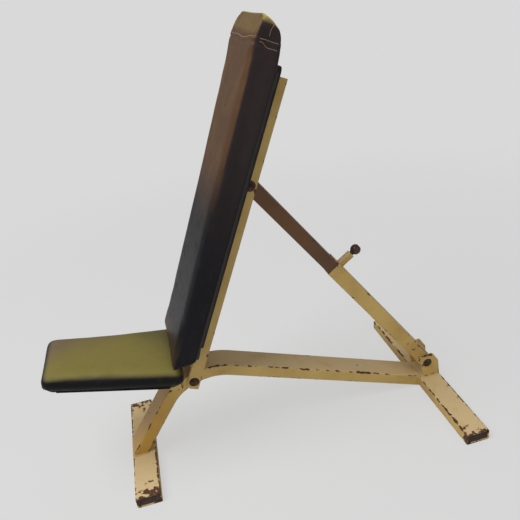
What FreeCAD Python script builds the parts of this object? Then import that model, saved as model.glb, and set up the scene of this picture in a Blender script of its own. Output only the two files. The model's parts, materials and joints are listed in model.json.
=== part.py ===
"""Adjustable weight bench: bent-tube base, hinged back rest and telescopic strut with a spring pin.

Frame: +X runs from the front foot to the rear foot, +Z up, +Y across; the floor is Z = 0 and the
origin lies on the floor under the middle of the front foot.  All sizes are millimetres and degrees.
The sheet "Sizes" holds the driving dimensions; "Layout" holds the places worked out from them.
"""
import FreeCAD, Part
import math
import os
import Sketcher
from FreeCAD import Placement, Rotation, Vector

doc = FreeCAD.newDocument("weight_bench")

# ---------------------------------------------------------------- driving dimensions
SIZES = [
    # base frame
    ("frame_width", 80.0), ("frame_depth", 38.0), ("frame_wall", 3.0), ("frame_corner", 5.0),
    ("leg_slope", 54.0), ("rail_slope", 21.5), ("bend_inner_radius", 150.0), ("rail_end_height", 41.0),
    ("foot_width", 70.0), ("foot_height", 35.0), ("foot_wall", 3.0), ("foot_corner", 4.0),
    ("front_foot_length", 402.0), ("rear_foot_length", 630.0), ("foot_distance", 936.0),
    ("plug_depth", 22.0), ("plug_recess", 3.0),
    # pivots
    ("bolt_diameter", 12.0), ("bolt_clearance", 0.05), ("bolt_head_diameter", 30.0),
    ("bolt_head_height", 7.0),
    ("washer_diameter", 26.0), ("washer_thickness", 2.5), ("nut_across_corners", 21.9), ("nut_height", 10.0),
    ("bolt_end", 3.0), ("hinge_sleeve_diameter", 18.0), ("hinge_bend_angle", 18.3), ("hinge_cover", 4.0),
    ("side_gap", 0.4), ("pivot_gap", 1.5),
    # back rest
    ("back_slope", 66.0), ("channel_wall", 4.5), ("channel_web", 4.0), ("channel_rear", 18.0),
    ("channel_front", 20.0), ("channel_foot", 24.0), ("channel_top", 866.0), ("web_start", 42.0),
    ("back_pad_width", 266.0), ("back_pad_low_thickness", 58.0), ("back_pad_top_thickness", 71.0),
    ("back_pad_top", 986.0), ("back_pad_low_front", 75.0), ("back_pad_low_rear", 118.0),
    ("back_pad_corner", 30.0), ("back_board_thickness", 14.0), ("back_board_inset", 28.0),
    ("back_board_top", 890.0),
    # strut
    ("upper_pin_distance", 598.0), ("lower_pin_setback", 9.0), ("lower_pin_height", 90.0),
    ("inner_width", 70.0), ("inner_depth", 38.0), ("inner_wall", 2.5), ("inner_length", 530.0),
    ("inner_end", 11.0), ("inner_end_depth", 18.0), ("inner_end_taper", 14.0), ("inner_corner", 3.0),
    ("eye_diameter", 20.0), ("slide_clearance", 0.5), ("outer_wall", 2.0), ("outer_length", 504.0),
    ("outer_end", 24.0), ("outer_corner", 3.5), ("open_pivot_radius", 13.0), ("strut_gap", 1.0),
    ("ear_thickness", 6.0), ("ear_foot_length", 52.0), ("ear_lean", 19.0), ("ear_top_length", 40.0),
    ("ear_top", 30.0),
    # spring pin
    ("plunger_inset", 24.0), ("plunger_housing_diameter", 24.0), ("plunger_housing_height", 43.0),
    ("plunger_guide", 6.0), ("plunger_chamber_diameter", 18.6), ("plunger_cap", 4.0),
    ("plunger_pin_diameter", 12.0), ("plunger_tip_gap", 0.3), ("plunger_collar_diameter", 17.6),
    ("plunger_collar_height", 3.0), ("plunger_rod_diameter", 8.0), ("plunger_clearance", 0.08),
    ("plunger_neck_diameter", 15.0), ("plunger_neck_gap", 0.6), ("plunger_ball_diameter", 30.0),
    ("plunger_ball_height", 17.0), ("plunger_rod_depth", 10.0), ("spring_wire", 2.0),
    ("spring_turns", 5.0), ("spring_inset", 0.6), ("adjust_hole_diameter", 13.0), ("adjust_hole_pitch", 48.0),
    ("adjust_hole_count", 7.0),
    # seat
    ("seat_slope", 12.3), ("seat_centre", -5.0), ("seat_height", 387.0), ("seat_length", 378.0),
    ("seat_rear_width", 266.0), ("seat_front_width", 214.0), ("seat_thickness", 46.0),
    ("seat_corner", 42.0), ("seat_board_thickness", 12.0), ("seat_board_inset", 14.0),
    ("seat_plate_front", -110.0), ("seat_plate_rear", 160.0),
    ("seat_plate_width", 112.0), ("seat_plate_thickness", 5.0), ("side_plate_thickness", 5.0),
    ("side_plate_rear", 158.0), ("side_plate_toe", 238.0), ("side_plate_lap", 20.0),
    ("side_plate_head", 30.0), ("side_plate_front", 80.0),
    # screws
    ("screw_diameter", 6.0), ("screw_head_diameter", 13.0), ("screw_head_height", 4.0),
    ("screw_grip", 9.0), ("back_screw_first", 180.0), ("back_screw_pitch", 320.0),
    ("back_screw_spread", 44.0), ("seat_screw_pitch", 150.0), ("seat_screw_spread", 60.0),
    ("seat_screw_shift", 25.0),
]

sheet = doc.addObject("Spreadsheet::Sheet", "Sizes")
for row, (alias, number) in enumerate(SIZES, start=1):
    sheet.set(f"A{row}", str(number))
    sheet.setAlias(f"A{row}", alias)
doc.recompute()

layout = doc.addObject("App::VarSet", "Layout")


def derive(name, rule):
    """Add a place or size that follows from the sheet, as a bound value of Layout."""
    layout.addProperty("App::PropertyFloat", name, "Layout")
    layout.setExpression(name, rule)


def size(rule):
    """Return the number that an expression on the sheet and Layout gives now."""
    answer = sheet.evalExpression(rule)
    return float(getattr(answer, "Value", answer))


# The top faces of leg and rail meet at (apex_x, apex_z); the bend's arcs share one centre.
derive("foot_front", "-Sizes.foot_width / 2")
derive("rail_end", "Sizes.foot_distance - Sizes.foot_width / 2")
derive("apex_x", "(Sizes.rail_end_height - Sizes.foot_height"
                 " + (Sizes.foot_distance - Sizes.foot_width / 2) * tan(Sizes.rail_slope)"
                 " - Sizes.foot_width / 2 * tan(Sizes.leg_slope))"
                 " / (tan(Sizes.leg_slope) + tan(Sizes.rail_slope))")
doc.recompute()
derive("apex_z", "Sizes.foot_height + (apex_x + Sizes.foot_width / 2) * tan(Sizes.leg_slope)")
derive("bend_outer_radius", "Sizes.bend_inner_radius + Sizes.frame_depth")
derive("half_turn", "(Sizes.leg_slope + Sizes.rail_slope) / 2")
doc.recompute()
# The line from apex to centre leans back from straight down by half the difference of the slopes.
derive("lean", "(Sizes.leg_slope - Sizes.rail_slope) / 2")
doc.recompute()
derive("bend_x", "apex_x + bend_outer_radius / cos(half_turn) * sin(lean)")
derive("bend_z", "apex_z - bend_outer_radius / cos(half_turn) * cos(lean)")
derive("hinge_radius", "Sizes.bend_inner_radius + Sizes.hinge_cover + Sizes.hinge_sleeve_diameter / 2")
doc.recompute()
derive("hinge_x", "bend_x - hinge_radius * sin(Sizes.hinge_bend_angle)")
derive("hinge_z", "bend_z + hinge_radius * cos(Sizes.hinge_bend_angle)")
doc.recompute()
derive("upper_x", "hinge_x + Sizes.upper_pin_distance * cos(Sizes.back_slope)")
derive("upper_z", "hinge_z + Sizes.upper_pin_distance * sin(Sizes.back_slope)")
derive("lower_x", "Sizes.foot_distance - Sizes.lower_pin_setback")
doc.recompute()
derive("strut_length", "sqrt((lower_x - upper_x)^2 + (upper_z - Sizes.lower_pin_height)^2)")
derive("strut_slope", "atan2(upper_z - Sizes.lower_pin_height; lower_x - upper_x)")
derive("channel_inside", "Sizes.frame_width / 2 + Sizes.pivot_gap")
derive("outer_width", "Sizes.inner_width + 2 * (Sizes.slide_clearance + Sizes.outer_wall)")
derive("outer_depth", "Sizes.inner_depth + 2 * (Sizes.slide_clearance + Sizes.outer_wall)")
doc.recompute()
derive("channel_outside", "channel_inside + Sizes.channel_wall")
derive("ear_inside", "outer_width / 2 + Sizes.strut_gap")
derive("ear_outside", "outer_width / 2 + Sizes.strut_gap + Sizes.ear_thickness")
derive("plunger_x", "strut_length - Sizes.outer_length + Sizes.plunger_inset")
derive("housing_base", "outer_depth / 2")
derive("housing_top", "outer_depth / 2 + Sizes.plunger_housing_height")
derive("pin_tip", "Sizes.inner_depth / 2 + Sizes.plunger_tip_gap")
derive("collar_base", "outer_depth / 2 + Sizes.plunger_guide + Sizes.plunger_tip_gap")
derive("seat_plate_top", "-Sizes.seat_thickness")
doc.recompute()


# ---------------------------------------------------------------- shared ways of making
def place(item, label, frame="base"):
    """Name a sub-part and put it in its frame: base, back, strut, pin or seat."""
    item.Label = label
    frames = {
        "base": None,
        "back": ("Layout.hinge_x", "Layout.hinge_z", "-Sizes.back_slope"),
        "strut": ("Layout.upper_x", "Layout.upper_z", "Layout.strut_slope"),
        "seat": ("Sizes.seat_centre", "Sizes.seat_height", "Sizes.seat_slope"),
    }
    where = frames[frame]
    if where:
        across, up, turn = where
        spot = Vector(size(across), 0, size(up))
        item.Placement = Placement(spot, Rotation(Vector(0, 1, 0), size(turn)))
        item.setExpression("Placement.Base.x", across)
        item.setExpression("Placement.Base.z", up)
    made.append(item)
    return item


made = []


def bind(item, **rules):
    """Bind properties of an object to expressions on the sheet."""
    for name, rule in rules.items():
        item.setExpression(name, rule)
    return item


def at(item, x="0", y="0", z="0"):
    """Bind the position of an object that keeps its turn."""
    item.setExpression("Placement.Base.x", x)
    item.setExpression("Placement.Base.y", y)
    item.setExpression("Placement.Base.z", z)
    return item


def plane_sketch(body, plane, offset=None):
    """Start a sketch on one of the body's own planes, moved along its normal by offset."""
    sketch = body.newObject("Sketcher::SketchObject", body.Name + "_sketch")
    support = [part for part in body.Origin.OriginFeatures if part.Role == plane][0]
    sketch.AttachmentSupport = [(support, "")]
    sketch.MapMode = "FlatFace"
    if offset:
        sketch.AttachmentOffset = Placement(Vector(0, 0, size(offset)), Rotation())
        sketch.setExpression("AttachmentOffset.Base.z", offset)
    return sketch


def fix_point(sketch, edge, end, x, y):
    """Hold one point of a sketch edge at bound coordinates."""
    for kind, rule in (("DistanceX", x), ("DistanceY", y)):
        number = sketch.addConstraint(Sketcher.Constraint(kind, -1, 1, edge, end, size(rule)))
        name = f"{kind[-1].lower()}{edge}_{end}"
        sketch.renameConstraint(number, name)
        sketch.setExpression("Constraints." + name, rule)


def polygon(sketch, corners):
    """Draw a closed polygon whose corners are pairs of expressions."""
    points = [Vector(size(x), size(y), 0) for x, y in corners]
    first = sketch.GeometryCount
    count = len(points)
    for index in range(count):
        sketch.addGeometry(Part.LineSegment(points[index], points[(index + 1) % count]))
    for index in range(count):
        follower = first + (index + 1) % count
        sketch.addConstraint(Sketcher.Constraint("Coincident", first + index, 2, follower, 1))
    for index, (x, y) in enumerate(corners):
        fix_point(sketch, first + index, 1, x, y)
    return sketch


def rectangle(sketch, width, height):
    """Draw a rectangle of bound width and height about the sketch's origin."""
    w, h = f"({width}) / 2", f"({height}) / 2"
    return polygon(sketch, [(f"-{w}", f"-{h}"), (w, f"-{h}"), (w, h), (f"-{w}", h)])


def circle(sketch, radius, x="0", y="0"):
    """Draw a circle of bound radius and centre."""
    edge = sketch.addGeometry(Part.Circle(Vector(size(x), size(y), 0), Vector(0, 0, 1), size(radius)))
    number = sketch.addConstraint(Sketcher.Constraint("Radius", edge, size(radius)))
    sketch.renameConstraint(number, f"radius{edge}")
    sketch.setExpression(f"Constraints.radius{edge}", radius)
    fix_point(sketch, edge, 3, x, y)
    return sketch


def pad(body, sketch, length, symmetric=False):
    """Raise a sketch into a solid, one way or both ways about its plane."""
    feature = body.newObject("PartDesign::Pad", body.Name + "_pad")
    feature.Profile = sketch
    feature.setExpression("Length", length)
    if symmetric:
        feature.SideType = "Symmetric"
    doc.recompute()
    return feature


def cut_both_ways(body, sketch, length):
    """Cut a sketch out of the body symmetrically; the volume has to fall."""
    before = body.Shape.Volume
    feature = body.newObject("PartDesign::Pocket", body.Name + "_pocket")
    feature.Profile = sketch
    feature.SideType = "Symmetric"
    feature.setExpression("Length", length)
    doc.recompute()
    if body.Shape.Volume >= before:
        raise ValueError(f"{body.Name}: a cut removed nothing")
    return feature


def soften(body, radius, chosen):
    """Fillet the edges of the body's tip that the test picks out."""
    tip = body.Tip
    names = [f"Edge{n}" for n, edge in enumerate(tip.Shape.Edges, start=1) if chosen(edge)]
    if not names:
        raise ValueError(f"{body.Name}: no edge to round")
    feature = body.newObject("PartDesign::Fillet", body.Name + "_fillet")
    feature.Base = (tip, names)
    feature.setExpression("Radius", radius)
    doc.recompute()
    return feature


def runs_along(edge, axis):
    """True for a straight edge along the axis."""
    if edge.Curve.TypeId != "Part::GeomLine":
        return False
    return abs(abs(edge.Curve.Direction.dot(axis)) - 1) < 1e-6


ALONG_X, ALONG_Y, ALONG_Z = Vector(1, 0, 0), Vector(0, 1, 0), Vector(0, 0, 1)


def new_body(name):
    """Start a PartDesign body."""
    return doc.addObject("PartDesign::Body", name)


def tube(name, plane, width, height, wall, corner, length, axis, start=None):
    """A straight rectangular tube, open at both ends, as a body without its frame."""
    body = new_body(name)
    pad(body, rectangle(plane_sketch(body, plane, start), width, height), length, start is None)
    soften(body, corner, lambda edge: runs_along(edge, axis))
    hollow = rectangle(plane_sketch(body, plane), f"{width} - 2 * {wall}", f"{height} - 2 * {wall}")
    cut_both_ways(body, hollow, f"3 * ({length})")
    return body


def rod(name, radius, height, x="0", y="0", z="0", across=True):
    """A cylinder along +Y (across) or +Z, whose lower end stands at the given point."""
    item = doc.addObject("Part::Cylinder", name)
    item.Placement = Placement(Vector(), Rotation(ALONG_X, -90) if across else Rotation())
    bind(item, Radius=radius, Height=height)
    return at(item, x, y, z)


def minus(name, base, *tools):
    """Base with the tools cut away."""
    for number, tool in enumerate(tools):
        item = doc.addObject("Part::Cut", f"{name}_{number}")
        item.Base = base
        item.Tool = tool
        base = item
    return base


def plus(name, *parts):
    """The parts joined."""
    item = doc.addObject("Part::MultiFuse", name)
    item.Shapes = list(parts)
    return item


def group(name, *parts):
    """Separate solids kept in one sub-part."""
    item = doc.addObject("Part::Compound", name)
    item.Links = list(parts)
    return item


# ---------------------------------------------------------------- base frame
def bend_outline(sketch, outset, reach):
    """Outline of the bent tube seen from the side, grown by outset; reach lengthens its ends."""
    outer = f"(Layout.bend_outer_radius + {outset})"
    inner = f"(Sizes.bend_inner_radius - {outset})"
    turn_in, turn_out = "Sizes.leg_slope", "Sizes.rail_slope"

    def on_arc(radius, turn, sign):
        return (f"Layout.bend_x {'-' if sign < 0 else '+'} {radius} * sin({turn})",
                f"Layout.bend_z + {radius} * cos({turn})")

    leg_top = f"({outset}) / sin({turn_in})"
    rail_rise = f"({outset}) / cos({turn_out})"
    depth_leg = f"(Sizes.frame_depth + 2 * ({outset})) / sin({turn_in})"
    depth_rail = f"(Sizes.frame_depth + 2 * ({outset})) / cos({turn_out})"
    foot_x = f"Layout.foot_front - {leg_top} - ({reach}) / tan({turn_in})"
    foot_z = f"Sizes.foot_height - ({reach})"
    end_x = f"Layout.rail_end + ({reach})"
    end_z = f"Sizes.rail_end_height + {rail_rise} - ({reach}) * tan({turn_out})"
    ends = [
        (foot_x, foot_z), on_arc(outer, turn_in, -1), on_arc(outer, turn_out, 1), (end_x, end_z),
        (end_x, f"{end_z} - {depth_rail}"), on_arc(inner, turn_out, 1), on_arc(inner, turn_in, -1),
        (f"{foot_x} + {depth_leg}", foot_z),
    ]
    points = [Vector(size(x), size(z), 0) for x, z in ends]
    centre = Vector(size("Layout.bend_x"), size("Layout.bend_z"), 0)

    def arc(radius):
        ring = Part.Circle(centre, Vector(0, 0, 1), size(radius))
        start = math.radians(90 - size(turn_out))
        stop = math.radians(90 + size(turn_in))
        return sketch.addGeometry(Part.ArcOfCircle(ring, start, stop))

    leg_front = sketch.addGeometry(Part.LineSegment(points[0], points[1]))
    bend_out = arc(outer)
    rail_top = sketch.addGeometry(Part.LineSegment(points[2], points[3]))
    rail_cut = sketch.addGeometry(Part.LineSegment(points[3], points[4]))
    rail_under = sketch.addGeometry(Part.LineSegment(points[4], points[5]))
    bend_in = arc(inner)
    leg_rear = sketch.addGeometry(Part.LineSegment(points[6], points[7]))
    leg_cut = sketch.addGeometry(Part.LineSegment(points[7], points[0]))
    joints = [
        (leg_front, 2, bend_out, 2, "Tangent"), (bend_out, 1, rail_top, 1, "Tangent"),
        (rail_top, 2, rail_cut, 1, "Coincident"), (rail_cut, 2, rail_under, 1, "Coincident"),
        (rail_under, 2, bend_in, 1, "Tangent"), (bend_in, 2, leg_rear, 1, "Tangent"),
        (leg_rear, 2, leg_cut, 1, "Coincident"), (leg_cut, 2, leg_front, 1, "Coincident"),
    ]
    for one, one_end, other, other_end, kind in joints:
        sketch.addConstraint(Sketcher.Constraint(kind, one, one_end, other, other_end))
    sketch.addConstraint(Sketcher.Constraint("Coincident", bend_in, 3, bend_out, 3))
    fix_point(sketch, bend_out, 3, "Layout.bend_x", "Layout.bend_z")
    for edge, radius in ((bend_out, outer), (bend_in, inner)):
        number = sketch.addConstraint(Sketcher.Constraint("Radius", edge, size(radius)))
        sketch.renameConstraint(number, f"radius{edge}")
        sketch.setExpression(f"Constraints.radius{edge}", radius)
    for edge, corner in ((leg_front, 0), (rail_cut, 3), (rail_under, 4), (leg_cut, 7)):
        fix_point(sketch, edge, 1, *ends[corner])
    return sketch


def main_tube():
    """Front leg, bend and rail in one rectangular tube, cut to sit on both feet."""
    body = new_body("main_tube_body")
    pad(body, bend_outline(plane_sketch(body, "XZ_Plane"), "0", "0"), "Sizes.frame_width", True)

    def long_edge(edge):
        ends = [point.Point for point in edge.Vertexes]
        level = abs(ends[0].y - ends[1].y) < 1e-6
        long_enough = edge.Length > size("2 * Sizes.frame_depth")
        return level and long_enough

    soften(body, "Sizes.frame_corner", long_edge)
    hollow = bend_outline(plane_sketch(body, "XZ_Plane"), "(-Sizes.frame_wall)", "20")
    cut_both_ways(body, hollow, "Sizes.frame_width - 2 * Sizes.frame_wall")
    bore = circle(plane_sketch(body, "XZ_Plane"), "Sizes.hinge_sleeve_diameter / 2",
                  "Layout.hinge_x", "Layout.hinge_z")
    cut_both_ways(body, bore, "2 * Sizes.frame_width")
    place(body, "main_tube")


def foot(label, length, centre):
    """A crosswise foot tube with two plugs set into its ends."""
    body = tube(label + "_body", "XZ_Plane", "Sizes.foot_width", "Sizes.foot_height", "Sizes.foot_wall",
                "Sizes.foot_corner", length, ALONG_Y)
    body.Label = label + "_tube"
    at(body, centre, "0", "Sizes.foot_height / 2")
    made.append(body)
    plugs = []
    for side in ("-", "+"):
        plug = doc.addObject("Part::Box", f"{label}_plug")
        bind(plug, Length="Sizes.foot_width - 2 * Sizes.foot_wall", Width="Sizes.plug_depth",
             Height="Sizes.foot_height - 2 * Sizes.foot_wall")
        inner_end = f"-{length} / 2 + Sizes.plug_recess"
        if side == "+":
            inner_end = f"{length} / 2 - Sizes.plug_recess - Sizes.plug_depth"
        at(plug, f"{centre} - Sizes.foot_width / 2 + Sizes.foot_wall", inner_end, "Sizes.foot_wall")
        plugs.append(plug)
    place(group(label + "_plug_pair", *plugs), label + "_plugs")


def coach_bolt(label, frame, half_grip):
    """Round-headed bolt across the bench: head on the -Y side, its end past the nut on the +Y side."""
    ball = "(Sizes.bolt_head_diameter^2 / 4 + Sizes.bolt_head_height^2) / (2 * Sizes.bolt_head_height)"
    head = doc.addObject("Part::Sphere", label + "_head")
    head.Placement = Placement(Vector(), Rotation(ALONG_X, 90))
    bind(head, Radius=ball, Angle1=f"asin(({ball} - Sizes.bolt_head_height) / ({ball}))")
    at(head, "0", f"-({half_grip}) + {ball} - Sizes.bolt_head_height")
    shank = rod(label + "_shank", "Sizes.bolt_diameter / 2",
                f"2 * ({half_grip}) + Sizes.washer_thickness + Sizes.nut_height + Sizes.bolt_end + 0.5",
                y=f"-({half_grip}) - 0.5")
    return locate(plus(label + "_joined", head, shank), label, frame)


def locate(item, label, frame):
    """Place a sub-part at one of the pivots, or in a named frame."""
    item.Label = label
    pivots = {
        "hinge": ("Layout.hinge_x", "Layout.hinge_z"),
        "upper": ("Layout.upper_x", "Layout.upper_z"),
        "lower": ("Layout.lower_x", "Sizes.lower_pin_height"),
    }
    across, up = pivots[frame]
    at(item, across, "0", up)
    made.append(item)
    return item


def washer_and_nut(label, frame, half_grip):
    """Washer against the outer face on the +Y side and a six-sided nut on top of it."""
    ring = rod(label + "_ring", "Sizes.washer_diameter / 2", "Sizes.washer_thickness", y=half_grip)
    ring_hole = rod(label + "_ring_hole", "Sizes.bolt_diameter / 2", "Sizes.washer_thickness", y=half_grip)
    locate(minus(label + "_washer", ring, ring_hole), label + "_washer", frame)
    seat_face = f"{half_grip} + Sizes.washer_thickness"
    block = doc.addObject("Part::Prism", label + "_block")
    block.Polygon = 6
    block.Placement = Placement(Vector(), Rotation(ALONG_X, -90))
    bind(block, Circumradius="Sizes.nut_across_corners / 2", Height="Sizes.nut_height")
    at(block, "0", seat_face)
    block_hole = rod(label + "_block_hole", "Sizes.bolt_diameter / 2", "Sizes.nut_height", y=seat_face)
    locate(minus(label + "_nut", block, block_hole), label + "_nut", frame)


def sleeve(label, outside, half_length, frame):
    """A bush across the bench that a pivot bolt runs in."""
    wall = rod(label + "_wall", f"{outside} / 2", f"2 * ({half_length})", y=f"-({half_length})")
    bore = rod(label + "_bore", "Sizes.bolt_diameter / 2 + Sizes.bolt_clearance",
               f"2 * ({half_length})", y=f"-({half_length})")
    locate(minus(label + "_bush", wall, bore), label, frame)


def clevis_ears():
    """Two plates on the rear foot that lean with the strut and hold its lower bolt."""
    ears = []
    for sign in ("-", "+"):
        body = new_body("ear_left" if sign == "-" else "ear_right")
        # The sketch plane's normal is -Y, so its offset has the opposite sign to the side.
        offset = f"{'' if sign == '-' else '-'}(Layout.ear_inside + Sizes.ear_thickness / 2)"
        sketch = plane_sketch(body, "XZ_Plane", offset)
        base_rear = "Layout.rail_end + Sizes.foot_width - 2"
        base_front = f"{base_rear} - Sizes.ear_foot_length"
        top = "Sizes.lower_pin_height + Sizes.ear_top"
        polygon(sketch, [
            (base_front, "Sizes.foot_height"), (base_rear, "Sizes.foot_height"),
            (f"{base_rear} - 4", "Sizes.lower_pin_height"),
            (f"{base_front} - Sizes.ear_lean + Sizes.ear_top_length + 8", top),
            (f"{base_front} - Sizes.ear_lean + 14", top),
            (f"{base_front} - Sizes.ear_lean", f"{top} - 14"),
        ])
        circle(sketch, "Sizes.bolt_diameter / 2", "Layout.lower_x", "Sizes.lower_pin_height")
        pad(body, sketch, "Sizes.ear_thickness", True)
        ears.append(body)
    place(group("ear_pair", *ears), "strut_clevis_ears")


def base_frame():
    """Everything welded or bolted to the part that stands on the floor, apart from the seat."""
    main_tube()
    foot("front_foot", "Sizes.front_foot_length", "0")
    foot("rear_foot", "Sizes.rear_foot_length", "Sizes.foot_distance")
    clevis_ears()
    coach_bolt("lower_bolt", "lower", "Layout.ear_outside")
    washer_and_nut("lower", "lower", "Layout.ear_outside")
    sleeve("hinge_sleeve", "Sizes.hinge_sleeve_diameter", "Layout.channel_inside - Sizes.side_gap", "hinge")


# ---------------------------------------------------------------- seat
def seat_outline(sketch, inset):
    """The seat from above: wide at the rear, narrower at the front."""
    half = "Sizes.seat_length / 2"
    front = f"Sizes.seat_front_width / 2 - {inset}"
    rear = f"Sizes.seat_rear_width / 2 - {inset}"
    low, high = f"-({half} - {inset})", f"{half} - {inset}"
    return polygon(sketch, [(low, f"-({front})"), (high, f"-({rear})"), (high, rear), (low, front)])


def seat():
    """Seat pad over its board, on a plate carried by two side plates at the bend."""
    board = new_body("seat_board_body")
    sketch = seat_outline(plane_sketch(board, "XY_Plane", "-Sizes.seat_thickness"), "Sizes.seat_board_inset")
    pad(board, sketch, "Sizes.seat_board_thickness")
    soften(board, "Sizes.seat_corner - Sizes.seat_board_inset", lambda edge: runs_along(edge, ALONG_Z))
    rows = ["-Sizes.seat_screw_pitch / 2 + Sizes.seat_screw_shift",
            "Sizes.seat_screw_pitch / 2 + Sizes.seat_screw_shift"]
    screws = screw_grid("seat", rows, "Sizes.seat_screw_spread",
                        "-Sizes.seat_thickness - Sizes.seat_plate_thickness", False)
    cushion = new_body("seat_pad_body")
    pad(cushion, seat_outline(plane_sketch(cushion, "XY_Plane", "-Sizes.seat_thickness"), "0"),
        "Sizes.seat_thickness")
    soften(cushion, "Sizes.seat_corner", lambda edge: runs_along(edge, ALONG_Z))
    place(minus("seat_cushion", cushion, board), "seat_pad", "seat")
    place(drilled("seat_board_drilled", board, screws), "seat_board", "seat")

    plate = new_body("seat_plate_body")
    sketch = plane_sketch(plate, "XY_Plane", "-Sizes.seat_thickness - Sizes.seat_plate_thickness")
    half = "Sizes.seat_plate_width / 2"
    polygon(sketch, [("Sizes.seat_plate_front", f"-{half}"), ("Sizes.seat_plate_rear", f"-{half}"),
                     ("Sizes.seat_plate_rear", half), ("Sizes.seat_plate_front", half)])
    pad(plate, sketch, "Sizes.seat_plate_thickness")
    place(drilled("seat_plate_drilled", plate, screws), "seat_plate", "seat")
    place(group("seat_screw_set", *screws), "seat_screws", "seat")
    side_plates()


def side_plates():
    """Two plates lapped on the sides of the bend, up to the underside of the seat plate."""
    under = "(Sizes.seat_thickness + Sizes.seat_plate_thickness) / cos(Sizes.seat_slope)"

    def head_height(x):
        return f"Sizes.seat_height - ({x} - Sizes.seat_centre) * tan(Sizes.seat_slope) - {under}"

    plates = []
    head_rear = "Sizes.side_plate_rear - 16"
    for sign in ("-", "+"):
        body = new_body("side_plate_left" if sign == "-" else "side_plate_right")
        offset = f"{'' if sign == '-' else '-'}(Sizes.frame_width / 2 + Sizes.side_plate_thickness / 2)"
        sketch = plane_sketch(body, "XZ_Plane", offset)
        polygon(sketch, [
            ("Sizes.side_plate_rear", "Sizes.side_plate_toe + 4"),
            (head_rear, head_height(head_rear)),
            ("Sizes.side_plate_front", head_height("Sizes.side_plate_front")),
            ("Sizes.side_plate_front + 18", "Sizes.side_plate_toe + Sizes.side_plate_lap"),
            ("Sizes.side_plate_rear - Sizes.side_plate_lap", "Sizes.side_plate_toe"),
        ])
        pad(body, sketch, "Sizes.side_plate_thickness", True)
        plates.append(body)
    place(group("side_plate_pair", *plates), "seat_side_plates")


def screw_grid(name, rows, spread, face, along_front):
    """Pan-head screws in two columns: heads under the face, shanks up into the board."""
    screws = []
    for row, along in enumerate(rows):
        for column in ("-", "+"):
            across = f"{column}({spread}) / 2"
            head = rod(f"{name}_screw_head{row}", "Sizes.screw_head_diameter / 2", "Sizes.screw_head_height",
                       along, across, f"{face} - Sizes.screw_head_height", across=False)
            web = "Sizes.channel_web" if along_front else "Sizes.seat_plate_thickness"
            shank = rod(f"{name}_screw_shank{row}", "Sizes.screw_diameter / 2",
                        f"{web} + Sizes.screw_grip + Sizes.screw_head_height", along, across,
                        f"{face} - Sizes.screw_head_height", across=False)
            screws.append(plus(f"{name}_screw{row}", head, shank))
    return screws


def drilled(name, base, screws):
    """A plate or board with the holes that its screws fill."""
    shanks = group(name + "_screws", *screws)
    return minus(name, base, shanks)


# ---------------------------------------------------------------- back rest
def back_channel():
    """Channel whose web backs the pad; its flanges straddle the main tube and the strut."""
    body = new_body("back_channel_body")
    sketch = plane_sketch(body, "YZ_Plane", "-Sizes.channel_foot")
    out, inside = "Layout.channel_outside", "Layout.channel_inside"
    rear, front = "-Sizes.channel_rear", "Sizes.channel_front"
    web = "Sizes.channel_front - Sizes.channel_web"
    polygon(sketch, [(f"-{out}", rear), (f"-{inside}", rear), (f"-{inside}", web), (inside, web),
                     (inside, rear), (out, rear), (out, front), (f"-{out}", front)])
    pad(body, sketch, "Sizes.channel_top + Sizes.channel_foot")

    def outer_corner(edge):
        point = edge.Vertexes[0].Point
        wide = abs(abs(point.y) - size(out)) < 1e-4
        return runs_along(edge, ALONG_X) and wide and abs(point.z - size(front)) < 1e-4

    soften(body, "Sizes.frame_corner", outer_corner)
    # The web stops above the bend so that it clears the main tube, and the front lower corners are cut.
    notch = polygon(plane_sketch(body, "XZ_Plane"), [
        ("-2 * Sizes.channel_foot", "-2 * Sizes.channel_rear"),
        ("Sizes.web_start", "-2 * Sizes.channel_rear"),
        ("Sizes.web_start", "2 * Sizes.channel_front"),
        ("-2 * Sizes.channel_foot", "2 * Sizes.channel_front")])
    cut_both_ways(body, notch, f"2 * {inside}")
    corner = polygon(plane_sketch(body, "XZ_Plane"), [
        ("-2 * Sizes.channel_foot", "9"), ("-Sizes.channel_foot", "9"), ("-2", "Sizes.channel_front"),
        ("-2", "2 * Sizes.channel_front"), ("-2 * Sizes.channel_foot", "2 * Sizes.channel_front")])
    cut_both_ways(body, corner, "4 * Layout.channel_outside")
    for distance in ("0", "Sizes.upper_pin_distance"):
        hole = circle(plane_sketch(body, "XZ_Plane"), "Sizes.bolt_diameter / 2", distance, "0")
        cut_both_ways(body, hole, "4 * Layout.channel_outside")
    return body


def cushion_profile(sketch):
    """The back cushion from the side: thicker at the top, its lower end mitred to clear the seat."""
    base = "(Sizes.channel_front + Sizes.back_board_thickness)"
    return polygon(sketch, [("Sizes.back_pad_low_rear", base), ("Sizes.back_pad_top", base),
                            ("Sizes.back_pad_top", f"{base} + Sizes.back_pad_top_thickness"),
                            ("Sizes.back_pad_low_front", f"{base} + Sizes.back_pad_low_thickness")])


def back_board():
    """The board between channel and cushion, set in from the cushion's edges and short of its top."""
    body = new_body("back_board_body")
    low = "Sizes.back_pad_low_rear + Sizes.back_board_inset"
    high = "Sizes.back_board_top"
    half = "(Sizes.back_pad_width / 2 - Sizes.back_board_inset)"
    outline = [(low, f"-{half}"), (high, f"-{half}"), (high, half), (low, half)]
    sketch = polygon(plane_sketch(body, "XY_Plane", "Sizes.channel_front"), outline)
    pad(body, sketch, "Sizes.back_board_thickness")
    soften(body, "Sizes.back_pad_corner / 2", lambda edge: runs_along(edge, ALONG_Z))
    return body


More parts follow.
